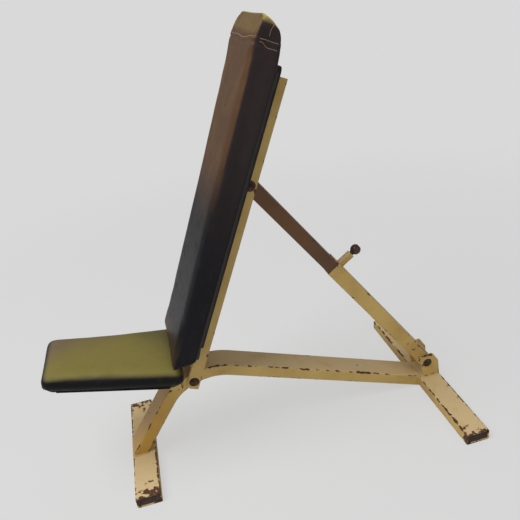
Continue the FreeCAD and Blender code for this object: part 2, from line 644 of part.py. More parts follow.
def back_rest():
    """Channel, board, cushion, the two pivot bolts and the screws that hold the board."""
    screws = screw_grid("back", [f"Sizes.back_screw_first + {n} * Sizes.back_screw_pitch" for n in range(3)],
                        "Sizes.back_screw_spread", "Sizes.channel_front - Sizes.channel_web", True)
    place(drilled("back_channel_drilled", back_channel(), screws), "back_channel", "back")
    place(drilled("back_board_drilled", back_board(), screws), "back_board", "back")
    cushion = new_body("back_pad_body")
    pad(cushion, cushion_profile(plane_sketch(cushion, "XZ_Plane")), "Sizes.back_pad_width", True)

    def upper_corner(edge):
        return runs_along(edge, ALONG_Z) and edge.Vertexes[0].Point.x > size("Sizes.channel_top")

    soften(cushion, "Sizes.back_pad_corner", upper_corner)
    place(cushion, "back_pad", "back")
    place(group("back_screw_set", *screws), "back_screws", "back")
    for spot in ("hinge", "upper"):
        coach_bolt(f"{spot}_bolt", spot, "Layout.channel_outside")
        washer_and_nut(spot, spot, "Layout.channel_outside")


# ---------------------------------------------------------------- strut
def strut_inner():
    """Sliding tube with its row of adjustment holes and tapered upper end."""
    body = new_body("strut_inner_body")
    length = "Sizes.inner_length + Sizes.inner_end"
    sketch = rectangle(plane_sketch(body, "YZ_Plane", "-Sizes.inner_end"),
                       "Sizes.inner_width", "Sizes.inner_depth")
    pad(body, sketch, length)
    soften(body, "Sizes.inner_corner", lambda edge: runs_along(edge, ALONG_X))
    hollow = rectangle(plane_sketch(body, "YZ_Plane"), "Sizes.inner_width - 2 * Sizes.inner_wall",
                       "Sizes.inner_depth - 2 * Sizes.inner_wall")
    cut_both_ways(body, hollow, f"3 * ({length})")
    for side in ("", "-"):
        taper = polygon(plane_sketch(body, "XZ_Plane"), [
            ("-2 * Sizes.inner_end", f"{side}Sizes.inner_end_depth / 2"),
            ("-Sizes.inner_end", f"{side}Sizes.inner_end_depth / 2"),
            ("Sizes.inner_end_taper", f"{side}Sizes.inner_depth / 2"),
            ("Sizes.inner_end_taper", f"{side}Sizes.inner_depth"),
            ("-2 * Sizes.inner_end", f"{side}Sizes.inner_depth")])
        cut_both_ways(body, taper, "2 * Sizes.inner_width")
    eye = circle(plane_sketch(body, "XZ_Plane"), "Sizes.eye_diameter / 2")
    cut_both_ways(body, eye, "2 * Sizes.inner_width")
    holes = []
    for number in range(int(size("Sizes.adjust_hole_count"))):
        holes.append(rod(f"adjust_hole{number}", "Sizes.adjust_hole_diameter / 2", "Sizes.inner_depth",
                         f"Layout.plunger_x - {number} * Sizes.adjust_hole_pitch", "0", "0", across=False))
    place(minus("strut_inner_holed", body, group("adjust_holes", *holes)), "strut_inner_tube", "strut")
    sleeve("strut_eye_sleeve", "Sizes.eye_diameter", "Layout.channel_inside - Sizes.side_gap", "upper")


def strut_outer():
    """Outer tube on the lower bolt, and the housing of its spring pin."""
    body = new_body("strut_outer_body")
    start = "Layout.strut_length - Sizes.outer_length"
    length = "Sizes.outer_length + Sizes.outer_end"
    section = rectangle(plane_sketch(body, "YZ_Plane", start), "Layout.outer_width", "Layout.outer_depth")
    pad(body, section, length)
    soften(body, "Sizes.outer_corner", lambda edge: runs_along(edge, ALONG_X))
    inner = "Sizes.inner_width + 2 * Sizes.slide_clearance"
    inner_depth = "Sizes.inner_depth + 2 * Sizes.slide_clearance"
    hollow = rectangle(plane_sketch(body, "YZ_Plane", "Layout.strut_length"), inner, inner_depth)
    cut_both_ways(body, hollow, f"3 * ({length})")
    # The hole round the lower bolt is wide, because this pivot is the one that the linkage is opened at.
    hole = circle(plane_sketch(body, "XZ_Plane"), "Sizes.open_pivot_radius", "Layout.strut_length", "0")
    cut_both_ways(body, hole, "2 * Layout.outer_width")
    guide = rod("outer_guide", "Sizes.plunger_pin_diameter / 2 + Sizes.plunger_clearance",
                "Layout.outer_depth", "Layout.plunger_x", "0", "0", across=False)
    place(minus("strut_outer_holed", body, guide), "strut_outer_tube", "strut")

    def upright(name, diameter, base, height):
        return rod(name, f"{diameter} / 2", height, "Layout.plunger_x", "0", base, across=False)

    guide_bore = "(Sizes.plunger_pin_diameter + 2 * Sizes.plunger_clearance)"
    rod_bore = "(Sizes.plunger_rod_diameter + 2 * Sizes.plunger_clearance)"
    chamber_height = "Sizes.plunger_housing_height - Sizes.plunger_guide - Sizes.plunger_cap"
    shell = upright("housing_shell", "Sizes.plunger_housing_diameter", "Layout.housing_base",
                    "Sizes.plunger_housing_height")
    low = upright("housing_guide", guide_bore, "Layout.housing_base", "Sizes.plunger_guide")
    chamber = upright("housing_chamber", "Sizes.plunger_chamber_diameter",
                      "Layout.housing_base + Sizes.plunger_guide", chamber_height)
    cap = upright("housing_cap", rod_bore, "Layout.housing_top - Sizes.plunger_cap", "Sizes.plunger_cap")
    place(minus("housing_bored", shell, low, chamber, cap), "plunger_housing", "strut")

    pin_height = "Layout.collar_base - Layout.pin_tip"
    rod_top = "Layout.housing_top + Sizes.plunger_neck_gap + Sizes.plunger_rod_depth"
    tip = upright("pin_body", "Sizes.plunger_pin_diameter", "Layout.pin_tip", pin_height)
    collar = upright("pin_collar", "Sizes.plunger_collar_diameter", "Layout.collar_base",
                     "Sizes.plunger_collar_height")
    stem = upright("pin_stem", "Sizes.plunger_rod_diameter", "Layout.collar_base",
                   f"{rod_top} - Layout.collar_base")
    place(plus("pin_joined", tip, collar, stem), "plunger_pin", "strut")

    neck_base = "Layout.housing_top + Sizes.plunger_neck_gap"
    ball = doc.addObject("Part::Sphere", "knob_ball")
    bind(ball, Radius="Sizes.plunger_ball_diameter / 2")
    at(ball, "Layout.plunger_x", "0", f"{neck_base} + Sizes.plunger_ball_height")
    neck = upright("knob_neck", "Sizes.plunger_neck_diameter", neck_base, "Sizes.plunger_ball_height / 2")
    socket = upright("knob_socket", "Sizes.plunger_rod_diameter", neck_base, "Sizes.plunger_rod_depth")
    place(minus("knob_bored", plus("knob_joined", ball, neck), socket), "plunger_knob", "strut")


def plunger_spring():
    """Coil between the pin's collar and the housing's cap, a little clear of both."""
    coil_radius = "(Sizes.plunger_collar_diameter - Sizes.spring_wire) / 2 - Sizes.spring_inset"
    low = "Layout.collar_base + Sizes.plunger_collar_height + Sizes.spring_wire / 2 + Sizes.plunger_tip_gap"
    high = "Layout.housing_top - Sizes.plunger_cap - Sizes.spring_wire / 2 - Sizes.plunger_tip_gap"
    helix = doc.addObject("Part::Helix", "spring_helix")
    helix.SegmentLength = 1
    height = f"(({high}) - ({low}))"
    bind(helix, Radius=coil_radius, Height=height, Pitch=f"{height} / Sizes.spring_turns")
    section = doc.addObject("Part::Circle", "spring_section")
    section.Placement = Placement(Vector(size(coil_radius), 0, 0), Rotation(ALONG_X, 90))
    bind(section, Radius="Sizes.spring_wire / 2")
    section.setExpression("Placement.Base.x", coil_radius)
    doc.recompute()
    coil = doc.addObject("Part::Sweep", "spring_sweep")
    coil.Sections = [section]
    coil.Spine = (helix, [])
    coil.Solid = True
    coil.Frenet = True
    at(coil, "Layout.plunger_x", "0", low)
    place(group("spring_coil", coil), "plunger_spring", "strut")


# ---------------------------------------------------------------- build, check and write
base_frame()
seat()
back_rest()
strut_inner()
strut_outer()
plunger_spring()
doc.recompute()

for thing in doc.Objects:
    if "Invalid" in thing.State or "Error" in thing.State:
        raise ValueError(f"{thing.Label} could not be built: {thing.State}")
for item in made:
    if item.Shape.isNull() or not item.Shape.isValid():
        raise ValueError(f"{item.Label} has no valid shape")

os.makedirs("parts", exist_ok=True)
for item in made:
    item.Shape.exportStep(f"parts/{item.Label}.step")
    box = item.Shape.BoundBox
    print(f"{item.Label:20s} solids {len(item.Shape.Solids)}  x {box.XMin:.1f}..{box.XMax:.1f}",
          f" y {box.YMin:.1f}..{box.YMax:.1f}  z {box.ZMin:.1f}..{box.ZMax:.1f}",
          f" volume {item.Shape.Volume:.0f}")
places = ["hinge_x", "hinge_z", "upper_x", "upper_z", "lower_x", "strut_length", "strut_slope", "plunger_x"]
for name in places:
    print(name, round(getattr(layout, name), 4))
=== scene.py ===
"""Looks of an adjustable weight bench: upholstery, worn paint, welds and fittings on its metal frame."""

import json
import logging
import math
from dataclasses import dataclass
from enum import Enum
from typing import Callable, Sequence

import bpy
from mathutils import Matrix, Vector


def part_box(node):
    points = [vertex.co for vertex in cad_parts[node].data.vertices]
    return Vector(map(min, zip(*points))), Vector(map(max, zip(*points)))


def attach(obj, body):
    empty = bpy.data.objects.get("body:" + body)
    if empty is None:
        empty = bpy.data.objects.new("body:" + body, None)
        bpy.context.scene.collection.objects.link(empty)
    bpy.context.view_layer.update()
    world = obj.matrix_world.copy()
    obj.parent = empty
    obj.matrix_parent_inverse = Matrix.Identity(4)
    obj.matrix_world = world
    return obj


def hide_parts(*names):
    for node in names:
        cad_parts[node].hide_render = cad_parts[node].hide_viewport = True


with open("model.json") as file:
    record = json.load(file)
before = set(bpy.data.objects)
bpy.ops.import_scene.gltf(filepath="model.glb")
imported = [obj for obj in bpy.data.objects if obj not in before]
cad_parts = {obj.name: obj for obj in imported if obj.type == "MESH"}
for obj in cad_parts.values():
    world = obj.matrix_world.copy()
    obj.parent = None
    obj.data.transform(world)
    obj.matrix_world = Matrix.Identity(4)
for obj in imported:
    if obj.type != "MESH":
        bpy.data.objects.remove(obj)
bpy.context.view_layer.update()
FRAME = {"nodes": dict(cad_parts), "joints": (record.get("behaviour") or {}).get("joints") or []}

Colour = tuple[float, float, float]
Point = tuple[float, float, float]
Socket = bpy.types.NodeSocket
Value = Socket | float
Thing = bpy.types.Object

log = logging.getLogger("bench")


def linear(red: int, green: int, blue: int) -> Colour:
    """Turn a colour of three 0-255 steps into linear light.

    Args:
        red: the red step.
        green: the green step.
        blue: the blue step.

    Returns:
        The three linear values.
    """
    steps = [value / 255 for value in (red, green, blue)]
    return tuple(v / 12.92 if v <= 0.04045 else ((v + 0.055) / 1.055) ** 2.4 for v in steps)


def joint_place(name: str) -> Vector:
    """Return where the named joint turns, in metres."""
    return Vector(next(j for j in FRAME["joints"] if j["name"] == name)["pos_m"])


def joint_axis(name: str) -> Vector:
    """Return the direction of the named joint."""
    return Vector(next(j for j in FRAME["joints"] if j["name"] == name)["axis"])


class Body(Enum):
    """The moving bodies that a piece can ride on."""

    BASE = "base_frame"
    BACK = "back_rest"
    STRUT_IN = "strut_inner"
    STRUT_OUT = "strut_outer"
    PLUNGER = "plunger"


@dataclass(frozen=True)
class Axes:
    """A sub-assembly's own axes: an origin, and a turn about +Y in degrees."""

    origin: Point
    turn: float = 0.0

    @property
    def matrix(self) -> Matrix:
        """The move from these axes to the bench's."""
        return Matrix.Translation(self.origin) @ Matrix.Rotation(math.radians(self.turn), 4, "Y")

    def at(self, x: float, y: float, z: float) -> Vector:
        """Return a point of these axes in the bench's axes."""
        return self.matrix @ Vector((x, y, z))

    def along(self, x: float, y: float, z: float) -> Vector:
        """Return a direction of these axes in the bench's axes."""
        return self.matrix.to_3x3() @ Vector((x, y, z))


HINGE = joint_place("back_hinge")
UPPER_PIN = joint_place("strut_pivot")
SLIDE = joint_axis("strut_slide")
BACK_AXES = Axes(tuple(HINGE), -66.0)
SEAT_AXES = Axes((-0.005, 0.0, 0.387), 12.3)
STRUT_AXES = Axes(tuple(UPPER_PIN), math.degrees(math.atan2(SLIDE.z, -SLIDE.x)))


# ---------------------------------------------------------------- tools of the workshop
class Hand:
    """The modelling moves that every piece is made with."""

    @staticmethod
    def alone(thing: Thing) -> None:
        """Select one object and nothing else."""
        bpy.ops.object.select_all(action="DESELECT")
        thing.select_set(True)
        bpy.context.view_layer.objects.active = thing

    @staticmethod
    def block(name: str, low: Point, high: Point) -> Thing:
        """Add a cuboid between two corners.

        Args:
            name: the object's name.
            low: its lowest corner.
            high: its highest corner.

        Returns:
            The cuboid, unscaled, with its place in its mesh.
        """
        bpy.ops.object.select_all(action="DESELECT")
        middle = (Vector(low) + Vector(high)) / 2
        bpy.ops.mesh.primitive_cube_add(size=1, location=middle)
        thing = bpy.context.active_object
        thing.name = name
        thing.scale = Vector(high) - Vector(low)
        bpy.ops.object.transform_apply(location=True, rotation=True, scale=True)
        return thing

    @staticmethod
    def pick(thing: Thing, kind: str, chosen: Callable[[list[Vector]], bool]) -> None:
        """Open edit mode with the chosen corners, edges or faces selected.

        Args:
            thing: the object to edit.
            kind: VERT, EDGE or FACE.
            chosen: says of an element's corner places whether it is wanted.
        """
        Hand.alone(thing)
        mesh = thing.data
        for group in (mesh.vertices, mesh.edges, mesh.polygons):
            group.foreach_set("select", [False] * len(group))
        if kind == "VERT":
            for corner in mesh.vertices:
                corner.select = chosen([corner.co])
        else:
            for element in mesh.edges if kind == "EDGE" else mesh.polygons:
                element.select = chosen([mesh.vertices[i].co for i in element.vertices])
        bpy.ops.object.mode_set(mode="EDIT")
        bpy.ops.mesh.select_mode(type=kind)

    @staticmethod
    def close() -> None:
        """Leave edit mode."""
        bpy.ops.object.mode_set(mode="OBJECT")

    @staticmethod
    def round_edges(thing: Thing, chosen: Callable[[list[Vector]], bool], width: float,
                    steps: int = 3) -> None:
        """Bevel the chosen edges of an object."""
        Hand.pick(thing, "EDGE", chosen)
        bpy.ops.mesh.bevel(offset=width, segments=steps, affect="EDGES", clamp_overlap=True)
        Hand.close()

    @staticmethod
    def modify(thing: Thing, kind: str, **settings: object) -> None:
        """Add a modifier with its settings, and apply it."""
        Hand.alone(thing)
        bpy.ops.object.modifier_add(type=kind)
        modifier = thing.modifiers[-1]
        for name, value in settings.items():
            setattr(modifier, name, value)
        bpy.ops.object.modifier_apply(modifier=modifier.name)

    @staticmethod
    def smooth(thing: Thing, angle: float = 40.0) -> None:
        """Shade an object smooth but for its sharp edges."""
        Hand.alone(thing)
        bpy.ops.object.shade_smooth_by_angle(angle=math.radians(angle))

    @staticmethod
    def copy(thing: Thing, matrix: Matrix) -> Thing:
        """Copy an object with its own mesh, moved by a matrix in the mesh."""
        twin = thing.copy()
        twin.data = thing.data.copy()
        bpy.context.scene.collection.objects.link(twin)
        twin.data.transform(matrix)
        return twin

    @staticmethod
    def join(name: str, things: Sequence[Thing]) -> Thing:
        """Join objects into one of the given name."""
        bpy.ops.object.select_all(action="DESELECT")
        for thing in things:
            thing.select_set(True)
        bpy.context.view_layer.objects.active = things[0]
        if len(things) > 1:
            bpy.ops.object.join()
        things[0].name = name
        return things[0]


class Recipe:
    """One material's nodes, laid out by calls that each return a socket."""

    def __init__(self, name: str) -> None:
        """Start a material with a principled shader."""
        self.material = bpy.data.materials.new(name)
        self.material.use_nodes = True
        self.tree = self.material.node_tree
        self.tree.nodes.clear()
        self.shader = self.add("ShaderNodeBsdfPrincipled")
        output = self.add("ShaderNodeOutputMaterial")
        self.tree.links.new(self.shader.outputs[0], output.inputs["Surface"])
        where = self.add("ShaderNodeTexCoord")
        self.place = where.outputs["Object"]
        self.facing = where.outputs["Normal"]
        self.relief: Socket | None = None

    def add(self, kind: str, **settings: object) -> bpy.types.Node:
        """Add a node with its settings."""
        node = self.tree.nodes.new(kind)
        for name, value in settings.items():
            setattr(node, name, value)
        return node

    def feed(self, socket: Socket, value: object) -> None:
        """Link a socket, or set its number or colour."""
        if isinstance(value, bpy.types.NodeSocket):
            self.tree.links.new(value, socket)
        elif isinstance(value, tuple) and socket.type == "RGBA":
            socket.default_value = (*value, 1.0)
        else:
            socket.default_value = value

    def math(self, operation: str, one: Value, other: Value = 0.0, clamp: bool = False) -> Socket:
        """Work out one number from two."""
        node = self.add("ShaderNodeMath", operation=operation, use_clamp=clamp)
        self.feed(node.inputs[0], one)
        self.feed(node.inputs[1], other)
        return node.outputs[0]

    def step(self, value: Value, low: float, high: float) -> Socket:
        """Rise smoothly from 0 at low to 1 at high."""
        node = self.add("ShaderNodeMapRange", interpolation_type="SMOOTHSTEP")
        self.feed(node.inputs["Value"], value)
        node.inputs["From Min"].default_value = low
        node.inputs["From Max"].default_value = high
        return node.outputs["Result"]

    def noise(self, scale: float, detail: float = 3.0, rough: float = 0.5,
              where: Socket | None = None) -> Socket:
        """Soft random patches, from 0 to 1."""
        node = self.add("ShaderNodeTexNoise")
        self.feed(node.inputs["Vector"], where or self.place)
        node.inputs["Scale"].default_value = scale
        node.inputs["Detail"].default_value = detail
        node.inputs["Roughness"].default_value = rough
        return node.outputs["Fac"]

    def cells(self, scale: float) -> Socket:
        """Distance within small cells, as in leather grain."""
        node = self.add("ShaderNodeTexVoronoi")
        self.feed(node.inputs["Vector"], self.place)
        node.inputs["Scale"].default_value = scale
        return node.outputs["Distance"]

    def tint(self, amount: Value, one: object, other: object) -> Socket:
        """Mix two colours."""
        node = self.add("ShaderNodeMix", data_type="RGBA")
        self.feed(node.inputs[0], amount)
        self.feed(node.inputs[6], one)
        self.feed(node.inputs[7], other)
        return node.outputs[2]

    def local(self, axes: Axes, stretch: Point = (1.0, 1.0, 1.0)) -> Socket:
        """The place in a sub-assembly's own axes."""
        node = self.add("ShaderNodeMapping", vector_type="TEXTURE")
        self.feed(node.inputs["Vector"], self.place)
        node.inputs["Location"].default_value = axes.origin
        node.inputs["Rotation"].default_value = (0.0, math.radians(axes.turn), 0.0)
        node.inputs["Scale"].default_value = stretch
        return node.outputs["Vector"]

    def split(self, vector: Socket) -> tuple[Socket, Socket, Socket]:
        """The three numbers of a vector."""
        node = self.add("ShaderNodeSeparateXYZ")
        self.feed(node.inputs[0], vector)
        return tuple(node.outputs)

    def toward(self, direction: Vector, vector: Socket | None = None) -> Socket:
        """How far a vector, or the surface's normal, points in a direction."""
        node = self.add("ShaderNodeVectorMath", operation="DOT_PRODUCT")
        self.feed(node.inputs[0], vector or self.facing)
        node.inputs[1].default_value = direction
        return node.outputs["Value"]

    def raise_by(self, height: Value, strength: float, distance: float) -> None:
        """Add relief on top of what is there."""
        node = self.add("ShaderNodeBump")
        self.feed(node.inputs["Height"], height)
        node.inputs["Strength"].default_value = strength
        node.inputs["Distance"].default_value = distance
        if self.relief:
            self.feed(node.inputs["Normal"], self.relief)
        self.relief = node.outputs["Normal"]

    def finish(self, colour: object, rough: Value, metal: Value = 0.0, **plain: float) -> bpy.types.Material:
        """Connect the shader and return the material.

        Args:
            colour: the base colour.
            rough: the roughness.
            metal: how metallic the surface is.
            plain: further shader sockets, by name with spaces as underscores.

        Returns:
            The finished material.
        """
        self.feed(self.shader.inputs["Base Color"], colour)
        self.feed(self.shader.inputs["Roughness"], rough)
        self.feed(self.shader.inputs["Metallic"], metal)
        for name, value in plain.items():
            self.shader.inputs[name.replace("_", " ")].default_value = value
        if self.relief:
            self.feed(self.shader.inputs["Normal"], self.relief)
        return self.material


# ---------------------------------------------------------------- where paint wears
@dataclass(frozen=True)
class StraightEdges:
    """The edges of a straight tube or plate, where its paint chips first."""

    axes: Axes
    half: Point
    reach: float = 0.009
    ends: float = 0.0

    def mask(self, recipe: Recipe) -> Socket:
        """Return 1 on the edges, 0 away from them."""
        near = []
        far = [recipe.math("ABSOLUTE", value) for value in recipe.split(recipe.local(self.axes))]
        for value, half in zip(far, self.half):
            near.append(recipe.step(value, half - self.reach, half))
        pairs = [recipe.math("MULTIPLY", near[i], near[(i + 1) % 3]) for i in range(3)]
        edge = recipe.math("MAXIMUM", recipe.math("MAXIMUM", pairs[0], pairs[1]), pairs[2])
        if not self.ends:
            return edge
        end = recipe.step(far[1], self.half[1] - self.ends, self.half[1])
        return recipe.math("MAXIMUM", edge, recipe.math("MULTIPLY", end, 0.8))


@dataclass(frozen=True)
class BentEdges:
    """The long edges of a tube that bends between two straight runs."""

    centre: Point
    inner: float
    outer: float
    half_width: float
    rise: float
    fall: float
    reach: float = 0.008

    def mask(self, recipe: Recipe) -> Socket:
        """Return 1 on the long edges, 0 away from them."""
        from_centre = recipe.local(Axes(self.centre))
        rise, fall = math.radians(self.rise), math.radians(self.fall)
        on_leg = recipe.toward(Vector((math.cos(rise), 0, math.sin(rise))), from_centre)
        on_rail = recipe.toward(Vector((math.cos(fall), 0, -math.sin(fall))), from_centre)
        on_leg = recipe.math("MINIMUM", on_leg, 0.0)
        on_rail = recipe.math("MAXIMUM", on_rail, 0.0)
        x, y, z = recipe.split(from_centre)
        squares = [recipe.math("MULTIPLY", value, value) for value in (x, z, on_leg, on_rail)]
        height = recipe.math("ADD", squares[0], squares[1])
        height = recipe.math("SUBTRACT", height, squares[2])
        height = recipe.math("SQRT", recipe.math("SUBTRACT", height, squares[3]))
        middle = (self.inner + self.outer) / 2
        off = recipe.math("ABSOLUTE", recipe.math("SUBTRACT", height, middle))
        half = (self.outer - self.inner) / 2
        upper = recipe.step(off, half - self.reach, half)
        side = recipe.step(recipe.math("ABSOLUTE", y), self.half_width - self.reach, self.half_width)
        return recipe.math("MULTIPLY", upper, side)


# ---------------------------------------------------------------- finishes
@dataclass(frozen=True)
class Enamel:
    """Old brushed-on enamel: patchy, paler on top from real dust and painted light from above, chipped to
    rust along the edges.
    """

    paint: Colour
    dust_and_top_light: Colour
    grime: Colour
    rust: Colour
    amber: Colour = linear(184, 136, 36)
    wear: float = 0.26
    gloss: float = 0.40

    def make(self, name: str, edges: StraightEdges | BentEdges, extra: float = 0.0) -> bpy.types.Material:
        """Make the paint for one piece.

        Args:
            name: the material's name.
            edges: where its edges are.
            extra: more wear than usual.

        Returns:
            The material.
        """
        recipe = Recipe(name)
        patches = recipe.noise(7.0, 4.0, 0.55)
        colour = recipe.tint(recipe.step(patches, 0.35, 0.75), self.paint, self.grime)
        # Faces that point up are tinted pale: partly real dust, partly painted light from above.
        up = recipe.step(recipe.toward(Vector((0, 0, 1))), 0.25, 0.9)
        scuffs = recipe.noise(26.0, 5.0, 0.65)
        lit_and_dusty_top = recipe.math("MULTIPLY", up, recipe.step(scuffs, 0.15, 0.5))
        colour = recipe.tint(lit_and_dusty_top, colour, self.dust_and_top_light)
        if isinstance(edges, BentEdges):
            along = recipe.split(recipe.place)[0]
            aged = recipe.math("SUBTRACT", 1.0, recipe.step(along, 0.05, 0.22))
            colour = recipe.tint(recipe.math("MULTIPLY", aged, 0.7), colour, self.amber)
        edge = edges.mask(recipe)
        chips = recipe.noise(62.0, 6.0, 0.62)
        worn = recipe.math("MULTIPLY", edge, self.wear + extra)
        worn = recipe.math("ADD", chips, worn)
        large = recipe.noise(9.0, 2.0, 0.5)
        worn = recipe.math("ADD", worn, recipe.math("MULTIPLY", recipe.math("SUBTRACT", large, 0.5), 0.42))
        rim = recipe.step(worn, 0.655, 0.70)
        bare = recipe.step(worn, 0.70, 0.74)
        colour = recipe.tint(recipe.math("MULTIPLY", rim, 0.35), colour, self.dust_and_top_light)
        rust = recipe.tint(recipe.noise(190.0, 3.0), self.rust, tuple(0.55 * v for v in self.rust))
        colour = recipe.tint(bare, colour, rust)
        specks = recipe.step(recipe.noise(330.0, 2.0), 0.73, 0.76)
        colour = recipe.tint(recipe.math("MULTIPLY", specks, 0.55), colour, self.rust)
        rough = recipe.math("ADD", self.gloss, recipe.math("MULTIPLY", bare, 0.35))
        rough = recipe.math("ADD", rough, recipe.math("MULTIPLY", scuffs, 0.18))
        recipe.raise_by(recipe.noise(420.0, 2.0), 0.10, 0.0006)
        recipe.raise_by(recipe.noise(45.0, 2.0), 0.05, 0.002)
        recipe.raise_by(recipe.math("SUBTRACT", 1.0, bare), 0.5, 0.0006)
        return recipe.finish(colour, rough)


@dataclass(frozen=True)
class Steel:
    """Dark, oily steel of bolts, nuts and pins."""

    colour: Colour
    dark: Colour
    rough: float = 0.42
    metal: float = 0.75

    def make(self, name: str) -> bpy.types.Material:
        """Make the steel."""
        recipe = Recipe(name)
        stains = recipe.noise(140.0, 4.0, 0.6)
        colour = recipe.tint(recipe.step(stains, 0.35, 0.7), self.colour, self.dark)
        rough = recipe.math("ADD", self.rough, recipe.math("MULTIPLY", stains, 0.3))
        recipe.raise_by(recipe.noise(900.0, 3.0), 0.15, 0.0004)
        return recipe.finish(colour, rough, self.metal)


@dataclass(frozen=True)
class Moulded:
    """Hard plastic with a fine moulded skin."""

    colour: Colour
    worn: Colour
    rough: float = 0.5

    def make(self, name: str) -> bpy.types.Material:
        """Make the plastic."""
        recipe = Recipe(name)
        scuffs = recipe.noise(70.0, 5.0, 0.7)
        colour = recipe.tint(recipe.step(scuffs, 0.5, 0.8), self.colour, self.worn)
        rough = recipe.math("ADD", self.rough, recipe.math("MULTIPLY", scuffs, 0.2))
        recipe.raise_by(recipe.noise(700.0, 2.0), 0.12, 0.0004)
        return recipe.finish(colour, rough)


@dataclass(frozen=True)
class Plywood:
    """Plain board with long grain and a few darker streaks."""

    pale: Colour
    dark: Colour
    axes: Axes

    def make(self, name: str) -> bpy.types.Material:
        """Make the wood."""
        recipe = Recipe(name)
        long = recipe.local(self.axes, (9.0, 1.0, 1.0))
        grain = recipe.noise(60.0, 6.0, 0.6, long)
        pores = recipe.noise(320.0, 2.0, 0.5, long)
        colour = recipe.tint(recipe.step(grain, 0.35, 0.65), self.pale, self.dark)
        colour = recipe.tint(recipe.step(pores, 0.62, 0.72), colour, self.dark)
        recipe.raise_by(grain, 0.2, 0.0008)
        return recipe.finish(colour, 0.78)


class Vinyl:
    """What both vinyls share: leather grain, fine creases and a soft sheen."""

    @staticmethod
    def grain(recipe: Recipe) -> Socket:
        """Add the grain and the creases, and return where the vinyl is scuffed."""
        creased = recipe.noise(38.0, 5.0, 0.65)
        recipe.raise_by(recipe.noise(11.0, 3.0, 0.5), 0.25, 0.004)
        recipe.raise_by(creased, 0.22, 0.0016)
        recipe.raise_by(recipe.cells(620.0), 0.16, 0.0007)
        return recipe.step(creased, 0.5, 0.75)


@dataclass(frozen=True)
class BackVinyl(Vinyl):
    """Dark vinyl of the back: brown and faded high up, nearly black low down, darker down its sides as
    painted shade, with a painted sheen low on its front and a painted highlight that makes its top end pale.
    """

    brown: Colour
    faded: Colour
    black: Colour
    # Colour of the sides high up, darker than the front as painted shade.
    side: Colour
    top_highlight: Colour
    axes: Axes
    fade_from: float = 0.44
    fade_to: float = 0.66
    cap: float = 0.935

    def make(self, name: str) -> bpy.types.Material:
        """Make the back's vinyl."""
        recipe = Recipe(name)
        x, y, _ = recipe.split(recipe.local(self.axes))
        soft = recipe.noise(6.0, 3.0, 0.6)
        wander = recipe.math("MULTIPLY", recipe.math("SUBTRACT", soft, 0.5), 0.12)
        bowed = recipe.math("MULTIPLY", recipe.math("MULTIPLY", y, y), 3.5)
        high = recipe.math("SUBTRACT", recipe.math("ADD", x, wander), bowed)
        high = recipe.step(high, self.fade_from, self.fade_to)
        front = recipe.step(recipe.toward(self.axes.along(0, 0, 1)), 0.25, 0.8)
        warm = recipe.tint(recipe.step(recipe.noise(16.0, 4.0, 0.6), 0.4, 0.7), self.brown, self.faded)
        face = recipe.tint(high, self.black, warm)
        # The sides take darker colours than the front by the way they face: painted shade.
        shaded_flank = recipe.tint(recipe.step(x, 0.30, 0.80), self.black, self.side)
        colour = recipe.tint(front, shaded_flank, face)
        # A painted sheen lightens the low end of the front face.
        low_painted_sheen = recipe.math("MULTIPLY", front, recipe.math("SUBTRACT", 1.0, recipe.step(x, 0.08, 0.20)))
        colour = recipe.tint(recipe.math("MULTIPLY", low_painted_sheen, 0.35), colour, self.faded)
        # The top end, and faintly the top of the front, are painted pale tan: a painted highlight where light
        # from above falls.
        end = recipe.math("ADD", x, recipe.math("MULTIPLY", recipe.math("SUBTRACT", soft, 0.5), 0.03))
        cap_highlight = recipe.math("MULTIPLY", recipe.step(end, self.cap, self.cap + 0.012), front)
        ended = recipe.step(recipe.toward(self.axes.along(1, 0, 0)), 0.45, 0.85)
        pale = recipe.math("MAXIMUM", recipe.math("MULTIPLY", cap_highlight, 0.12), ended)
        pale = recipe.math("MULTIPLY", pale, recipe.step(recipe.noise(24.0, 4.0, 0.7), 0.18, 0.5))
        colour = recipe.tint(pale, colour, self.top_highlight)
        scuffed = self.grain(recipe)
        colour = recipe.tint(recipe.math("MULTIPLY", scuffed, 0.10), colour, self.faded)
        rough = recipe.math("ADD", 0.42, recipe.math("MULTIPLY", scuffed, 0.14))
        return recipe.finish(colour, rough, 0.0, Specular_IOR_Level=0.14)


@dataclass(frozen=True)
class SeatVinyl(Vinyl):
    """Black vinyl of the seat with a painted reflection on its top: olive, browner to the front and far side,
    dimmer to the rear; black down its sides.
    """

    olive_reflection: Colour
    mauve_reflection: Colour
    dim_reflection: Colour
    black: Colour
    axes: Axes

    def make(self, name: str) -> bpy.types.Material:
        """Make the seat's vinyl."""
        recipe = Recipe(name)
        x, y, z = recipe.split(recipe.local(self.axes))
        soft = recipe.math("SUBTRACT", recipe.noise(9.0, 4.0, 0.6), 0.5)
        # The top's olive colour is a painted reflection: browner to the front and far side, dimmer towards
        # the rear.
        lean = recipe.math("SUBTRACT", recipe.math("MULTIPLY", y, 1.3), recipe.math("MULTIPLY", x, 0.75))
        lean = recipe.math("ADD", lean, recipe.math("MULTIPLY", soft, 0.16))
        colour = recipe.tint(recipe.step(lean, 0.02, 0.24), self.olive_reflection, self.mauve_reflection)
        rear = recipe.math("ADD", x, recipe.math("MULTIPLY", y, 0.9))
        rear = recipe.math("ADD", rear, recipe.math("MULTIPLY", soft, 0.10))
        colour = recipe.tint(recipe.math("MULTIPLY", recipe.step(rear, 0.05, 0.26), 0.75), colour, self.dim_reflection)
        top = recipe.math("ADD", z, recipe.math("MULTIPLY", soft, 0.004))
        colour = recipe.tint(recipe.step(top, -0.013, -0.001), self.black, colour)
        scuffed = self.grain(recipe)
        colour = recipe.tint(recipe.math("MULTIPLY", scuffed, 0.10), colour, self.dim_reflection)
        rough = recipe.math("ADD", 0.46, recipe.math("MULTIPLY", scuffed, 0.14))
        return recipe.finish(colour, rough, 0.0, Specular_IOR_Level=0.18)
